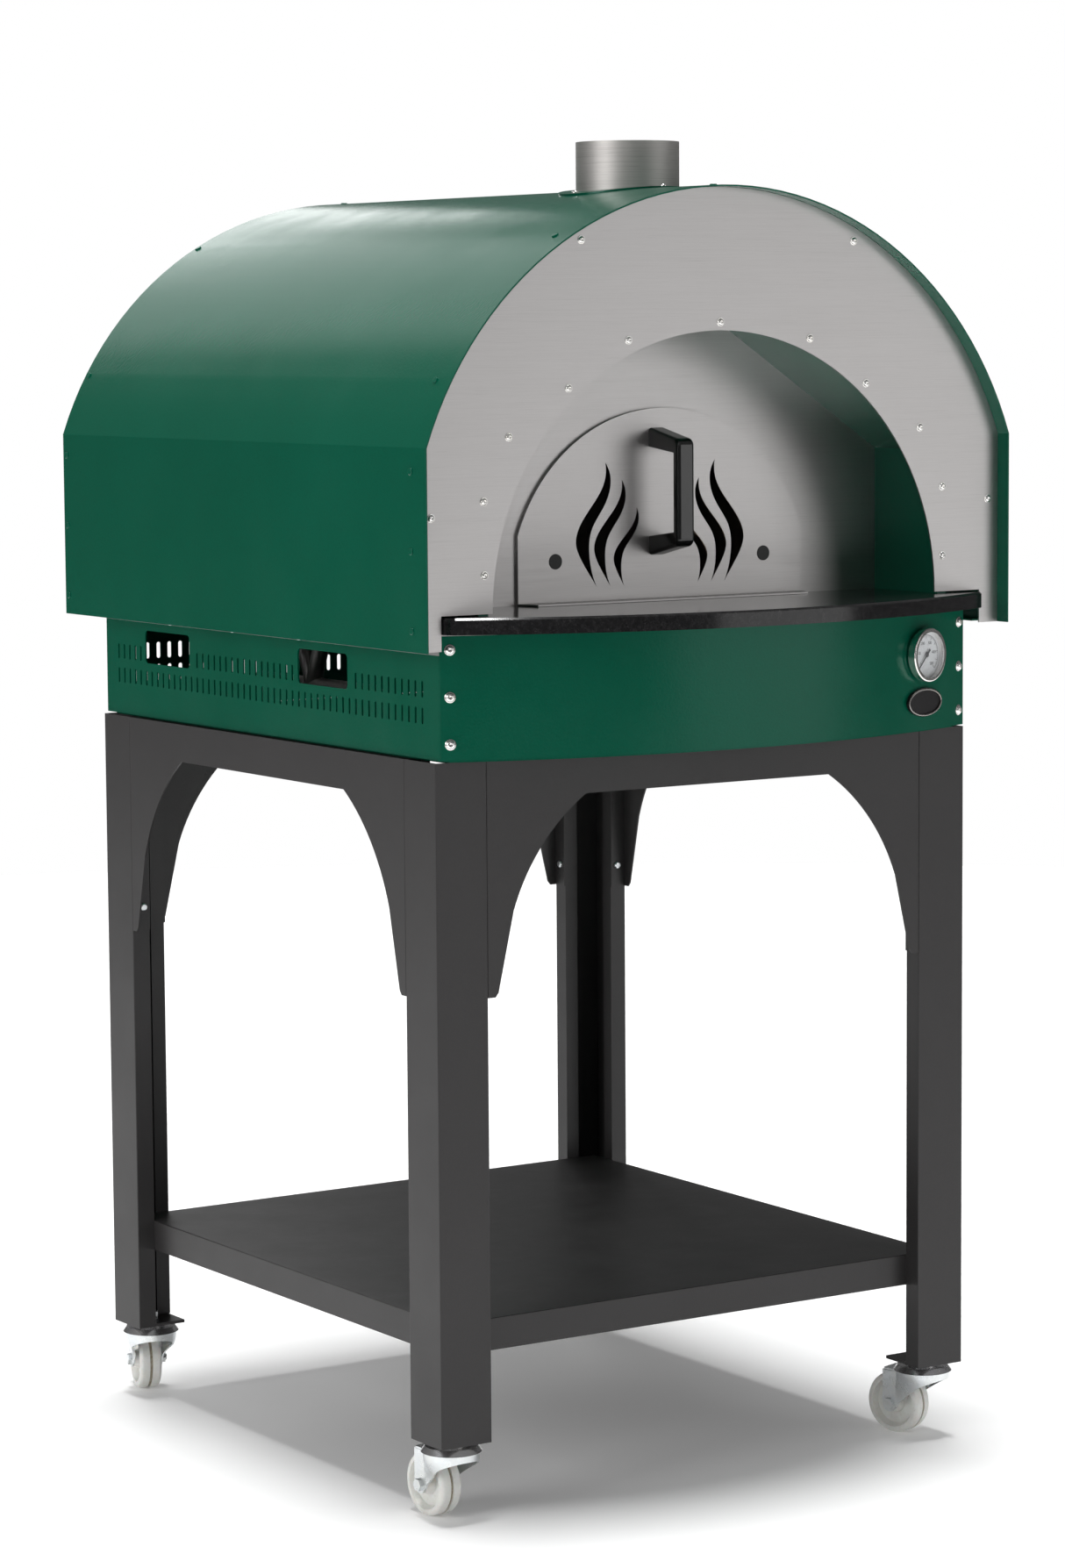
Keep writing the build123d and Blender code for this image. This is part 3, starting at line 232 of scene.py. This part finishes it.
def nylon():
    """Moulded white nylon, slightly waxy, with rolled-in dirt in patches."""
    p = Paint("castor_nylon")
    cloud = p.noise(60, 4, 0.6)
    scuff = p.ramp(p.noise(330, 4, 0.7), 0.56, 0.74, 0.0, 0.35)
    tone = p.mix(p.ramp(cloud, 0.35, 0.7), (0.83, 0.83, 0.80), (0.74, 0.74, 0.70))
    tone = p.mix(scuff, tone, (0.52, 0.47, 0.38))
    p.set(Base_Color=tone, Roughness=p.ramp(scuff, 0.0, 0.35, 0.34, 0.6), Subsurface_Weight=0.12,
          Subsurface_Scale=0.004, Normal=p.bump(p.noise(500, 3), 0.0002, 0.3))
    return p.material


def grime():
    """The dirt packed in a wheel's groove."""
    p = Paint("groove_grime")
    cloud = p.noise(240, 4, 0.7)
    tone = p.mix(p.ramp(cloud, 0.35, 0.7), (0.30, 0.25, 0.18), (0.52, 0.47, 0.38))
    p.set(Base_Color=tone, Roughness=0.8, Normal=p.bump(cloud, 0.0004, 0.5))
    return p.material


def moulded(name, tone, roughness):
    """Moulded phenolic: deep gloss with a faint flow ripple and fine rub marks."""
    p = Paint(name)
    flow = p.noise(26, 3, 0.5)
    rub = p.noise(1, 4, 0.7, p.stretched(1500, 1500, 110))
    rough = p.ramp(rub, 0.4, 0.75, roughness, roughness + 0.14)
    shade = p.mix(p.ramp(flow, 0.3, 0.7), tone, tuple(c * 1.6 + 0.002 for c in tone))
    p.set(Base_Color=shade, Roughness=rough, Normal=p.bump(flow, 0.0006, 0.25), Coat_Weight=0.5,
          Coat_Roughness=0.08)
    return p.material


def enamel(name, tone, roughness=0.4):
    """Flat printed or painted face with a faint mottling."""
    p = Paint(name)
    mottle = p.noise(380, 3, 0.6)
    shade = p.mix(p.ramp(mottle, 0.35, 0.7), tone, tuple(c * 0.93 for c in tone))
    p.set(Base_Color=shade, Roughness=p.ramp(mottle, 0.3, 0.7, roughness, roughness + 0.08),
          Normal=p.bump(mottle, 0.00005, 0.3))
    return p.material


def lens():
    p = Paint("gauge_lens")
    smear = p.noise(120, 3, 0.6)
    p.set(Base_Color=(0.97, 0.99, 0.99, 1.0), Roughness=p.ramp(smear, 0.4, 0.8, 0.01, 0.05),
          Alpha=p.ramp(smear, 0.4, 0.8, 0.06, 0.09))
    return p.material


def cast_plate():
    p = Paint("badge_dark")
    pebble = p.cells(900)
    tone = p.mix(p.ramp(pebble, 0.1, 0.6), (0.03, 0.028, 0.03), (0.012, 0.011, 0.012))
    p.set(Base_Color=tone, Metallic=0.6, Roughness=0.38, Normal=p.bump(pebble, 0.0003, 0.5))
    return p.material


GREEN = powder_coat("green_powder_coat", (0.0001, 0.082, 0.045), (0.0001, 0.091, 0.051), 0.20, 330, 0.34,
                    (0.62, 1.0, 0.90))
STAND = powder_coat("stand_powder_coat", (0.026, 0.0242, 0.0246), (0.030, 0.0280, 0.0284), 0.40, 700, 0.4)
STEEL = brushed_steel("brushed_stainless", "x", (0.56, 0.545, 0.54), 0.38)
STEEL_PIPE = brushed_steel("pipe_stainless", "xy", (0.60, 0.575, 0.56), 0.52, 4.0)
CHROME = plated("polished_steel", (0.90, 0.89, 0.88), 0.16)
ZINC = plated("zinc_plate", (0.76, 0.79, 0.81), 0.28)
RACE = plated("castor_race_chrome", (0.72, 0.72, 0.74), 0.2)
GRANITE = granite()
HEARTH = refractory()
FIBRE = fibre()
NYLON = nylon()
BLACK = moulded("handle_black", (0.006, 0.006, 0.006), 0.14)
PLUG = enamel("plug_black", (0.006, 0.006, 0.006), 0.35)
DIAL = enamel("dial_white", (0.78, 0.80, 0.82))
INK = enamel("dial_ink", (0.02, 0.02, 0.025))
LENS = lens()
BADGE = cast_plate()
BEAD = plated("badge_bead", (0.30, 0.29, 0.28), 0.25)
GRIME = grime()


def paint_node(name, material):
    data = NODES[name].data
    data.materials.clear()
    data.materials.append(material)


def paint_frame():
    """Every CAD node that stays in view gets its finish."""
    finishes = {
        GREEN: ["box_left", "box_right", "box_rear", "box_front", "floor_pan", "hood_shell", "hood_rear",
                "porch_lining", "roof_collar", "hood_rivets"],
        STAND: ["foot_plates", "apron_front", "apron_rear", "apron_left", "apron_right", "shelf_tray"]
        + [f"leg_{key}" for key in CORNERS],
        STEEL: ["hood_rails", "hearth_plate", "face_panel", "chamber_front", "vault_lining", "chamber_back",
                "door_leaf", "burner"],
        STEEL_PIPE: ["chimney_pipe"],
        CHROME: ["face_screws", "box_bolts", "collar_screws", "gauge_case", "gauge_bezel"],
        ZINC: ["apron_bolts", "shelf_bolts", "clip_bolts", "castor_nuts"]
        + [f"castor_fork_{key}" for key in CORNERS] + [f"castor_axle_{key}" for key in CORNERS],
        RACE: ["castor_heads"],
        NYLON: [f"castor_wheel_{key}" for key in CORNERS],
        GRANITE: ["stone_sill"],
        HEARTH: ["hearth_tile"],
        FIBRE: ["vault_blanket"],
        BLACK: ["door_handle"],
        PLUG: ["door_plugs"],
        DIAL: ["gauge_dial"],
        INK: ["gauge_needle"],
        LENS: ["gauge_glass"],
        BADGE: ["badge_plate"],
    }
    for material, names in finishes.items():
        for name in names:
            paint_node(name, material)


paint_frame()


# ------------------------------------------------------------ detail pieces

def mesh_object(name, material, body):
    """An empty mesh object that rides on a body and takes its finish from a slot."""
    mesh = bpy.data.meshes.new(name)
    piece = bpy.data.objects.new(name, mesh)
    mesh.materials.append(material)
    bpy.context.scene.collection.objects.link(piece)
    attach(piece, body)
    return piece


def fill_mesh(piece, build, smooth=radians(35)):
    """Runs build(bm) on a fresh bmesh and keeps the result, smooth where it is nearly flat."""
    bm = bmesh.new()
    build(bm)
    bmesh.ops.recalc_face_normals(bm, faces=bm.faces)
    for edge in bm.edges:
        edge.smooth = edge.is_manifold and edge.calc_face_angle(pi) < smooth
    for face in bm.faces:
        face.smooth = True
    bm.to_mesh(piece.data)
    bm.free()


def skin_rings(bm, rings):
    """Closes a row of equal point rings into one solid, with a flat cap at each end."""
    rows = [[bm.verts.new(point) for point in ring] for ring in rings]
    count = len(rows[0])
    for low, high in zip(rows, rows[1:]):
        for i in range(count):
            j = (i + 1) % count
            bm.faces.new((low[i], low[j], high[j], high[i]))
    bm.faces.new(reversed(rows[0]))
    bm.faces.new(rows[-1])


def skin_loop(bm, rings):
    """Joins a closed loop of equal point rings into one solid ring."""
    rows = [[bm.verts.new(point) for point in ring] for ring in rings]
    count = len(rows[0])
    for here, there in zip(rows, rows[1:] + rows[:1]):
        for k in range(count):
            n = (k + 1) % count
            bm.faces.new((here[k], here[n], there[n], there[k]))


def islands(name):
    """The separate solids of a CAD node: corner points, and the normal and area of each face."""
    bm = bmesh.new()
    bm.from_mesh(NODES[name].data)
    bmesh.ops.remove_doubles(bm, verts=bm.verts, dist=1e-6)
    seen, groups = set(), []
    for start in bm.verts:
        if start in seen:
            continue
        seen.add(start)
        group, stack = [], [start]
        while stack:
            vert = stack.pop()
            group.append(vert)
            for edge in vert.link_edges:
                other = edge.other_vert(vert)
                if other not in seen:
                    seen.add(other)
                    stack.append(other)
        faces = dict.fromkeys(face for vert in group for face in vert.link_faces)     # each once, in order
        groups.append(([vert.co.copy() for vert in group],
                       [(face.normal.copy(), face.calc_area()) for face in faces]))
    bm.free()
    return groups


def bolt_frame(points, faces, forward):
    """A bolt's head: middle of its top face, outward direction, radius. Its flat ends give the axis."""
    totals = []
    for normal, area in faces:
        for entry in totals:
            if abs(entry[0].dot(normal)) > 0.9995:
                entry[1] += area
                break
        else:
            totals.append([normal, area])
    axis = max(totals, key=lambda entry: entry[1])[0]
    if axis.dot(forward) < 0:
        axis = -axis
    middle = sum(points, Vector()) / len(points)
    rise = max((point - middle).dot(axis) for point in points)
    top = middle + axis * rise
    radius = max(((point - top) - axis * (point - top).dot(axis)).length for point in points)
    return top, axis, radius


BUTTON = ((1.0, 0.0), (1.0, 0.16), (0.95, 0.24), (0.83, 0.26), (0.80, 0.42), (0.74, 0.62), (0.64, 0.80),
          (0.52, 0.93), (0.42, 1.0))        # radius and height, as parts of the head's own
SOCKET = ((0.40, 1.0), (0.37, 0.95), (0.36, 0.45), (0.10, 0.38))
TURNS = 36


def hexagon(radius, angle):
    return radius * cos(pi / 6) / cos(angle % (pi / 3) - pi / 6)


def button_head(bm, top, axis, radius, height):
    """A flanged button head with a hexagon socket."""
    across = axis.orthogonal().normalized()
    beside = axis.cross(across)
    base = top - axis * height
    rings = []
    for profile, shape in ((BUTTON, lambda r, a: r), (SOCKET, hexagon)):
        for part, lift in profile:
            ring = []
            for i in range(TURNS):
                angle = 2 * pi * i / TURNS
                reach = shape(part * radius, angle)
                spoke = across * cos(angle) + beside * sin(angle)
                ring.append(base + axis * lift * height + spoke * reach)
            rings.append(ring)
    skin_rings(bm, rings)


def add_button_heads(node, head_h, forward):
    piece = mesh_object(node + "_heads", CHROME, "oven")

    def build(bm):
        for points, faces in islands(node):
            top, axis, radius = bolt_frame(points, faces, forward)
            button_head(bm, top, axis, radius, head_h)
    fill_mesh(piece, build)
    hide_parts(node)


def face_frame(name, box):
    """A node's largest forward face: its middle, outward direction, right and up."""
    data = NODES[name].data
    outward = max(data.polygons, key=lambda face: face.area if face.normal.y < 0 else 0).normal.copy()
    low, high = (Vector(corner) for corner in box)
    front = max(vert.co.dot(outward) for vert in data.vertices)
    middle = (low + high) / 2
    middle += outward * (front - middle.dot(outward))
    right = Vector((0, 0, 1)).cross(outward).normalized()
    return middle, outward, right, outward.cross(right)


SWEEP = 270                 # the scale's arc, degrees
STEPS = 50                  # divisions of the scale
NUMBERED = 10               # divisions from one number to the next
PER_STEP = 10               # what one division stands for
TICK_FOOT = {True: 20.5 * MM, False: 22.5 * MM}      # long ticks, short ticks
TICK_W = {True: 0.7 * MM, False: 0.35 * MM}
ARC_INNER, ARC_MIDDLE, ARC_OUTER = 25 * MM, 25.3 * MM, 25.5 * MM
ARC_STEP = 2.5              # the scale's arc is drawn in pieces of this many degrees
NUMBER_R = 16.4 * MM
NUMBER_SIZE = 5.6 * MM
PRINT_RISE = 0.08 * MM


def add_dial_marks():
    """Scale ring, tick marks and plain numbers, printed a hair above the dial."""
    middle, outward, right, up = face_frame("gauge_dial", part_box("gauge_dial"))
    lift = middle + outward * PRINT_RISE

    def turn_of(step):
        return radians(-SWEEP / 2 + SWEEP * step / STEPS)

    def at(radius, angle):
        return lift + (right * sin(angle) + up * cos(angle)) * radius

    def bar(bm, inner, outer, angle, width):
        side = (right * cos(angle) - up * sin(angle)) * width / 2
        rise = outward * PRINT_RISE
        skin_rings(bm, [[p - side, p + side, p + side + rise, p - side + rise]
                        for p in (at(inner, angle), at(outer, angle))])

    def build(bm):
        for i in range(STEPS + 1):
            long = i % (NUMBERED // 2) == 0
            bar(bm, TICK_FOOT[long], ARC_INNER, turn_of(i), TICK_W[long])
        for i in range(round(SWEEP / ARC_STEP)):
            angle = radians(-SWEEP / 2 + ARC_STEP * i + ARC_STEP / 2)
            bar(bm, ARC_INNER, ARC_OUTER, angle, ARC_MIDDLE * radians(ARC_STEP))
    piece = mesh_object("dial_scale", INK, "oven")
    fill_mesh(piece, build)
    for i in range(0, STEPS + 1, NUMBERED):
        add_number(str(i * PER_STEP), at(NUMBER_R, turn_of(i)), right, up, outward)


def add_number(text, place, right, up, outward):
    curve = bpy.data.curves.new("dial_number_" + text, "FONT")
    curve.body = text
    curve.size = NUMBER_SIZE
    curve.align_x = "CENTER"
    curve.align_y = "CENTER"
    curve.extrude = PRINT_RISE / 2
    source = bpy.data.objects.new("number_source", curve)
    mesh = bpy.data.meshes.new_from_object(source)
    bpy.data.objects.remove(source)
    mesh.transform(Matrix.Translation(place) @ Matrix((right, up, outward)).transposed().to_4x4())
    mesh.materials.clear()
    mesh.materials.append(INK)
    piece = bpy.data.objects.new("dial_number_" + text, mesh)
    bpy.context.scene.collection.objects.link(piece)
    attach(piece, "oven")


def lathe(bm, centre, axis, profile, turns=72):
    """A closed ring turned about an axis; profile holds points of (radius, along)."""
    across = axis.orthogonal().normalized()
    beside = axis.cross(across)
    rings = []
    for i in range(turns):
        angle = 2 * pi * i / turns
        spoke = across * cos(angle) + beside * sin(angle)
        rings.append([centre + spoke * radius + axis * along for radius, along in profile])
    skin_loop(bm, rings)


# The dirt's outline in millimetres: radius, then place across the tread.
DIRT = ((35.9, -1.95), (37.6, -1.95), (37.2, -0.8), (37.3, 0.9), (37.7, 1.95), (35.9, 1.95))


def add_wheel_dirt():
    """Dirt packed in each wheel's groove, uneven across the tread."""
    for joint in frame["joints"]:
        if not joint["name"].startswith("wheel_spin_"):
            continue
        key = joint["name"][-2:]
        low, high = (Vector(corner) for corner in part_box("castor_wheel_" + key))
        piece = mesh_object("wheel_dirt_" + key, GRIME, joint["child"])
        profile = [(radius * MM, along * MM) for radius, along in DIRT]
        centre, axis = (low + high) / 2, Vector(joint["axis"]).normalized()
        fill_mesh(piece, lambda bm: lathe(bm, centre, axis, profile))


# A castor's fork, in millimetres: x across it, y back along the trail, z above the floor.
FORK_PLATE = (84.0, 87.0)        # underside and top of the crown plate
FORK_CROWN_R = 34.9
FORK_CHEEK = 21.5                # from the middle to the outside of a cheek
FORK_SHEET = 2.5
FORK_TAIL = 49.0                 # how far back the cheeks reach
FORK_BOSS_R = 11.0
FORK_PIN_R = 8.05
FORK_BROW = 79                   # the skirt's lower edge at the very front
FORK_HOLLOW = 4                  # how much the sloping edge is hollowed
FLARE_FOOT, FLARE_RISE = 46, 36  # where the cheeks start to widen, and over what height
BLEND = radians(60)              # the front arc over which the skirt turns into two cheeks
ARC_STATIONS, TAIL_STATIONS, LEVELS, PLATE_TURNS = 26, 12, 8, 72
TRAIL, AXLE_Z = 38.0, 40.0


def fork_columns():
    """Stations round the skirt from tail to tail: side, share of a full cheek, and the half width
    and the place along the trail of the outer and the inner skin."""
    meet = pi - asin(FORK_CHEEK / FORK_CROWN_R)
    half = []
    for i in range(ARC_STATIONS + 1):
        angle = meet * i / ARC_STATIONS
        skins = [(radius * sin(angle), -radius * cos(angle))
                 for radius in (FORK_CROWN_R, FORK_CROWN_R - FORK_SHEET)]
        half.append((min(1.0, angle / BLEND) ** 0.8, skins))
    start = -FORK_CROWN_R * cos(meet)
    for i in range(1, TAIL_STATIONS + 1):
        along = start + (FORK_TAIL - start) * i / TAIL_STATIONS
        half.append((1.0, [(FORK_CHEEK, along), (FORK_CHEEK - FORK_SHEET, along)]))
    return [(-1, *column) for column in reversed(half[1:])] + [(1, *column) for column in half]


def fork_hem(along):
    """Height of the skirt's lower edge: a sloping front edge, then the round boss at the axle."""
    front = TRAIL - FORK_BOSS_R
    if along > front:
        return AXLE_Z - sqrt(max(0.0, FORK_BOSS_R ** 2 - (along - TRAIL) ** 2))
    share = (along + FORK_CROWN_R) / (front + FORK_CROWN_R)
    return FORK_BROW + (AXLE_Z - FORK_BROW) * share + FORK_HOLLOW * sin(pi * share)


def fork_skirt(at):
    """Rings of the skirt: up the outer skin and down the inner one at every station."""
    rings = []
    for side, share, skins in fork_columns():
        hem = fork_hem(skins[0][1])
        ring = []
        for (wide, along), cheek, order in ((skins[0], FORK_CHEEK, 1),
                                            (skins[1], FORK_CHEEK - FORK_SHEET, -1)):
            rows = []
            for k in range(LEVELS + 1):
                z = hem + (FORK_PLATE[0] + 1 - hem) * k / LEVELS
                rise = min(1.0, max(0.0, (z - FLARE_FOOT) / FLARE_RISE))
                flare = rise * rise * (3 - 2 * rise)
                rows.append(at(side * (cheek * share * (1 - flare) + wide * flare), along, z))
            ring += rows[::order]
        rings.append(ring)
    return rings


def fork_crown(at):
    """Rings of the crown plate: round in front, as wide as the cheeks behind, holed for the pin."""
    rings = []
    for i in range(PLATE_TURNS):
        angle = 2 * pi * i / PLATE_TURNS
        x, y = sin(angle), cos(angle)
        reach = FORK_CROWN_R
        if y > 0 and abs(x) * FORK_CROWN_R < FORK_CHEEK:
            reach = min(FORK_TAIL / y, FORK_CHEEK / max(abs(x), 1e-6))
        rings.append([at(x * r, y * r, z) for r, z in (
            (FORK_PIN_R, FORK_PLATE[0]), (reach, FORK_PLATE[0]), (reach, FORK_PLATE[1]),
            (FORK_PIN_R, FORK_PLATE[1]))])
    return rings


def add_forks():
    """Pressed swivel forks: a round crown whose skirt draws in to two cheeks at the axle."""
    joints = {joint["name"]: joint for joint in frame["joints"]}
    for key in CORNERS:
        wheel, swivel = joints["wheel_spin_" + key], joints["castor_swivel_" + key]
        foot = Vector((swivel["pos_m"][0], swivel["pos_m"][1], 0))
        across = Vector(wheel["axis"]).normalized()
        back = Vector(wheel["pos_m"]) - foot
        back.z = 0
        back.normalize()

        def at(x, y, z):
            return foot + (across * x + back * y) * MM + Vector((0, 0, z * MM))

        def build(bm):
            skin_rings(bm, fork_skirt(at))
            skin_loop(bm, fork_crown(at))
        piece = mesh_object("fork_shell_" + key, ZINC, swivel["child"])
        fill_mesh(piece, build)
        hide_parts("castor_fork_" + key)


def add_badge_rim():
    """A bright raised bead along the plain badge's edge."""
    middle, outward, right, up = face_frame("badge_plate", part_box("badge_plate"))
    piece = mesh_object("badge_rim", BEAD, "oven")
    half_w, half_h, bead, flatness = 34.4 * MM, 16.4 * MM, 1.15 * MM, 0.6
    turns, around = 96, 12

    def build(bm):
        rings = []
        for i in range(turns):
            angle = 2 * pi * i / turns
            spoke = (right * cos(angle) * half_h + up * sin(angle) * half_w).normalized()
            point = middle + right * cos(angle) * half_w + up * sin(angle) * half_h
            rings.append([point + (spoke * cos(t) + outward * flatness * sin(t)) * bead
                          for t in (2 * pi * k / around for k in range(around))])
        skin_loop(bm, rings)
    fill_mesh(piece, build)


add_button_heads("face_screws", 3.0 * MM, Vector((0, -1, 0)))
add_button_heads("box_bolts", 3.6 * MM, Vector((0, -1, 0)))
add_dial_marks()
add_wheel_dirt()
add_forks()
add_badge_rim()


# -------------------------------------------------------------------- stage

FLOOR_R = 6.0
SUN_STRENGTH, SUN_ANGLE = 3.1, radians(16)
WORLD_STRENGTH = 0.22
HORIZON, ZENITH = 0.4, 1.0       # how bright the surroundings are, from the horizon up
SOFTBOXES = {                    # watts, place, aim, width and height
    "fill": (27.0, (3.6, -5.0, 1.5), (0, -0.4, 1.2), 3.2, 2.6),
    "side": (84.0, (-5.0, -0.6, 2.4), (0, 0, 1.1), 2.6, 2.6),
    "back": (20.0, (0.1, 5.4, 4.2), (0, 0, 1.5), 3.0, 2.2),
    "crown": (20.0, (1.5, 5.3, 3.0), (0, 0, 1.6), 2.0, 1.5),
    "key": (10.0, (-2.6, -4.6, 3.6), (0, 0, 1.1), 2.4, 1.8),
}


def add_floor():
    """A pale floor disc that meets the white surroundings; a little glow keeps its shadows soft."""
    mesh = bpy.data.meshes.new("floor")
    bm = bmesh.new()
    bmesh.ops.create_circle(bm, cap_ends=True, segments=96, radius=FLOOR_R)
    bm.to_mesh(mesh)
    bm.free()
    floor = bpy.data.objects.new("floor", mesh)
    bpy.context.scene.collection.objects.link(floor)
    p = Paint("floor_paint")
    cloud = p.noise(0.7, 3)
    p.set(Base_Color=p.mix(cloud, (0.93, 0.93, 0.93), (0.95, 0.95, 0.95)), Roughness=0.65,
          Emission_Color=(1.0, 1.0, 1.0, 1.0), Emission_Strength=0.11)
    mesh.materials.append(p.material)


def aim(light, place, target):
    light.location = place
    light.rotation_euler = (Vector(target) - Vector(place)).to_track_quat("-Z", "Y").to_euler()
    light.visible_camera = False
    bpy.context.scene.collection.objects.link(light)


def add_softbox(name, watts, place, target, width, height):
    data = bpy.data.lights.new(name, "AREA")
    data.shape = "RECTANGLE"
    data.size = width
    data.size_y = height
    data.energy = watts
    aim(bpy.data.objects.new(name, data), place, target)


def add_overhead():
    """A wide soft light straight above: an even white floor, and the stand's shadow under it."""
    data = bpy.data.lights.new("sun", "SUN")
    data.angle = SUN_ANGLE
    data.energy = SUN_STRENGTH
    aim(bpy.data.objects.new("sun", data), (0, 0, 6), (0, 0, 0))


def add_world():
    """Soft surroundings: brighter overhead, dim at the horizon; the camera itself sees plain white."""
    world = bpy.data.worlds.new("studio")
    world.use_nodes = True
    tree = world.node_tree
    link = tree.links.new
    sky = tree.nodes.new("ShaderNodeTexCoord")
    split = tree.nodes.new("ShaderNodeSeparateXYZ")
    link(sky.outputs["Generated"], split.inputs[0])
    rise = tree.nodes.new("ShaderNodeMapRange")
    rise.inputs["From Min"].default_value = -0.1
    rise.inputs["From Max"].default_value = 0.9
    rise.inputs["To Min"].default_value = HORIZON
    rise.inputs["To Max"].default_value = ZENITH
    link(split.outputs["Z"], rise.inputs["Value"])
    soft = tree.nodes["Background"]
    soft.inputs["Strength"].default_value = WORLD_STRENGTH
    link(rise.outputs["Result"], soft.inputs["Color"])
    plain = tree.nodes.new("ShaderNodeBackground")
    plain.inputs["Color"].default_value = (1, 1, 1, 1)
    ray = tree.nodes.new("ShaderNodeLightPath")
    pick = tree.nodes.new("ShaderNodeMixShader")
    link(ray.outputs["Is Camera Ray"], pick.inputs[0])
    link(soft.outputs[0], pick.inputs[1])
    link(plain.outputs[0], pick.inputs[2])
    link(pick.outputs[0], tree.nodes["World Output"].inputs["Surface"])
    bpy.context.scene.world = world


def add_camera():
    """The photograph's view: from the front left, a little above the sill."""
    place = (-3.110, -4.769, 1.458)
    yaw, pitch, roll = radians(-32.95), radians(-6.06), radians(-0.42)
    ahead = Vector((-sin(yaw) * cos(pitch), cos(yaw) * cos(pitch), sin(pitch)))
    level = Vector((cos(yaw), sin(yaw), 0))
    above = level.cross(ahead)
    right = level * cos(roll) + above * sin(roll)
    up = above * cos(roll) - level * sin(roll)
    data = bpy.data.cameras.new("camera")
    data.lens = 100.15
    camera = bpy.data.objects.new("camera", data)
    camera.matrix_world = Matrix.Translation(place) @ Matrix((right, up, -ahead)).transposed().to_4x4()
    bpy.context.scene.collection.objects.link(camera)
    bpy.context.scene.camera = camera


add_floor()
add_world()
add_overhead()
for box_name, settings in SOFTBOXES.items():
    add_softbox(box_name, *settings)
add_camera()
bpy.context.scene.view_settings.view_transform = "Standard"
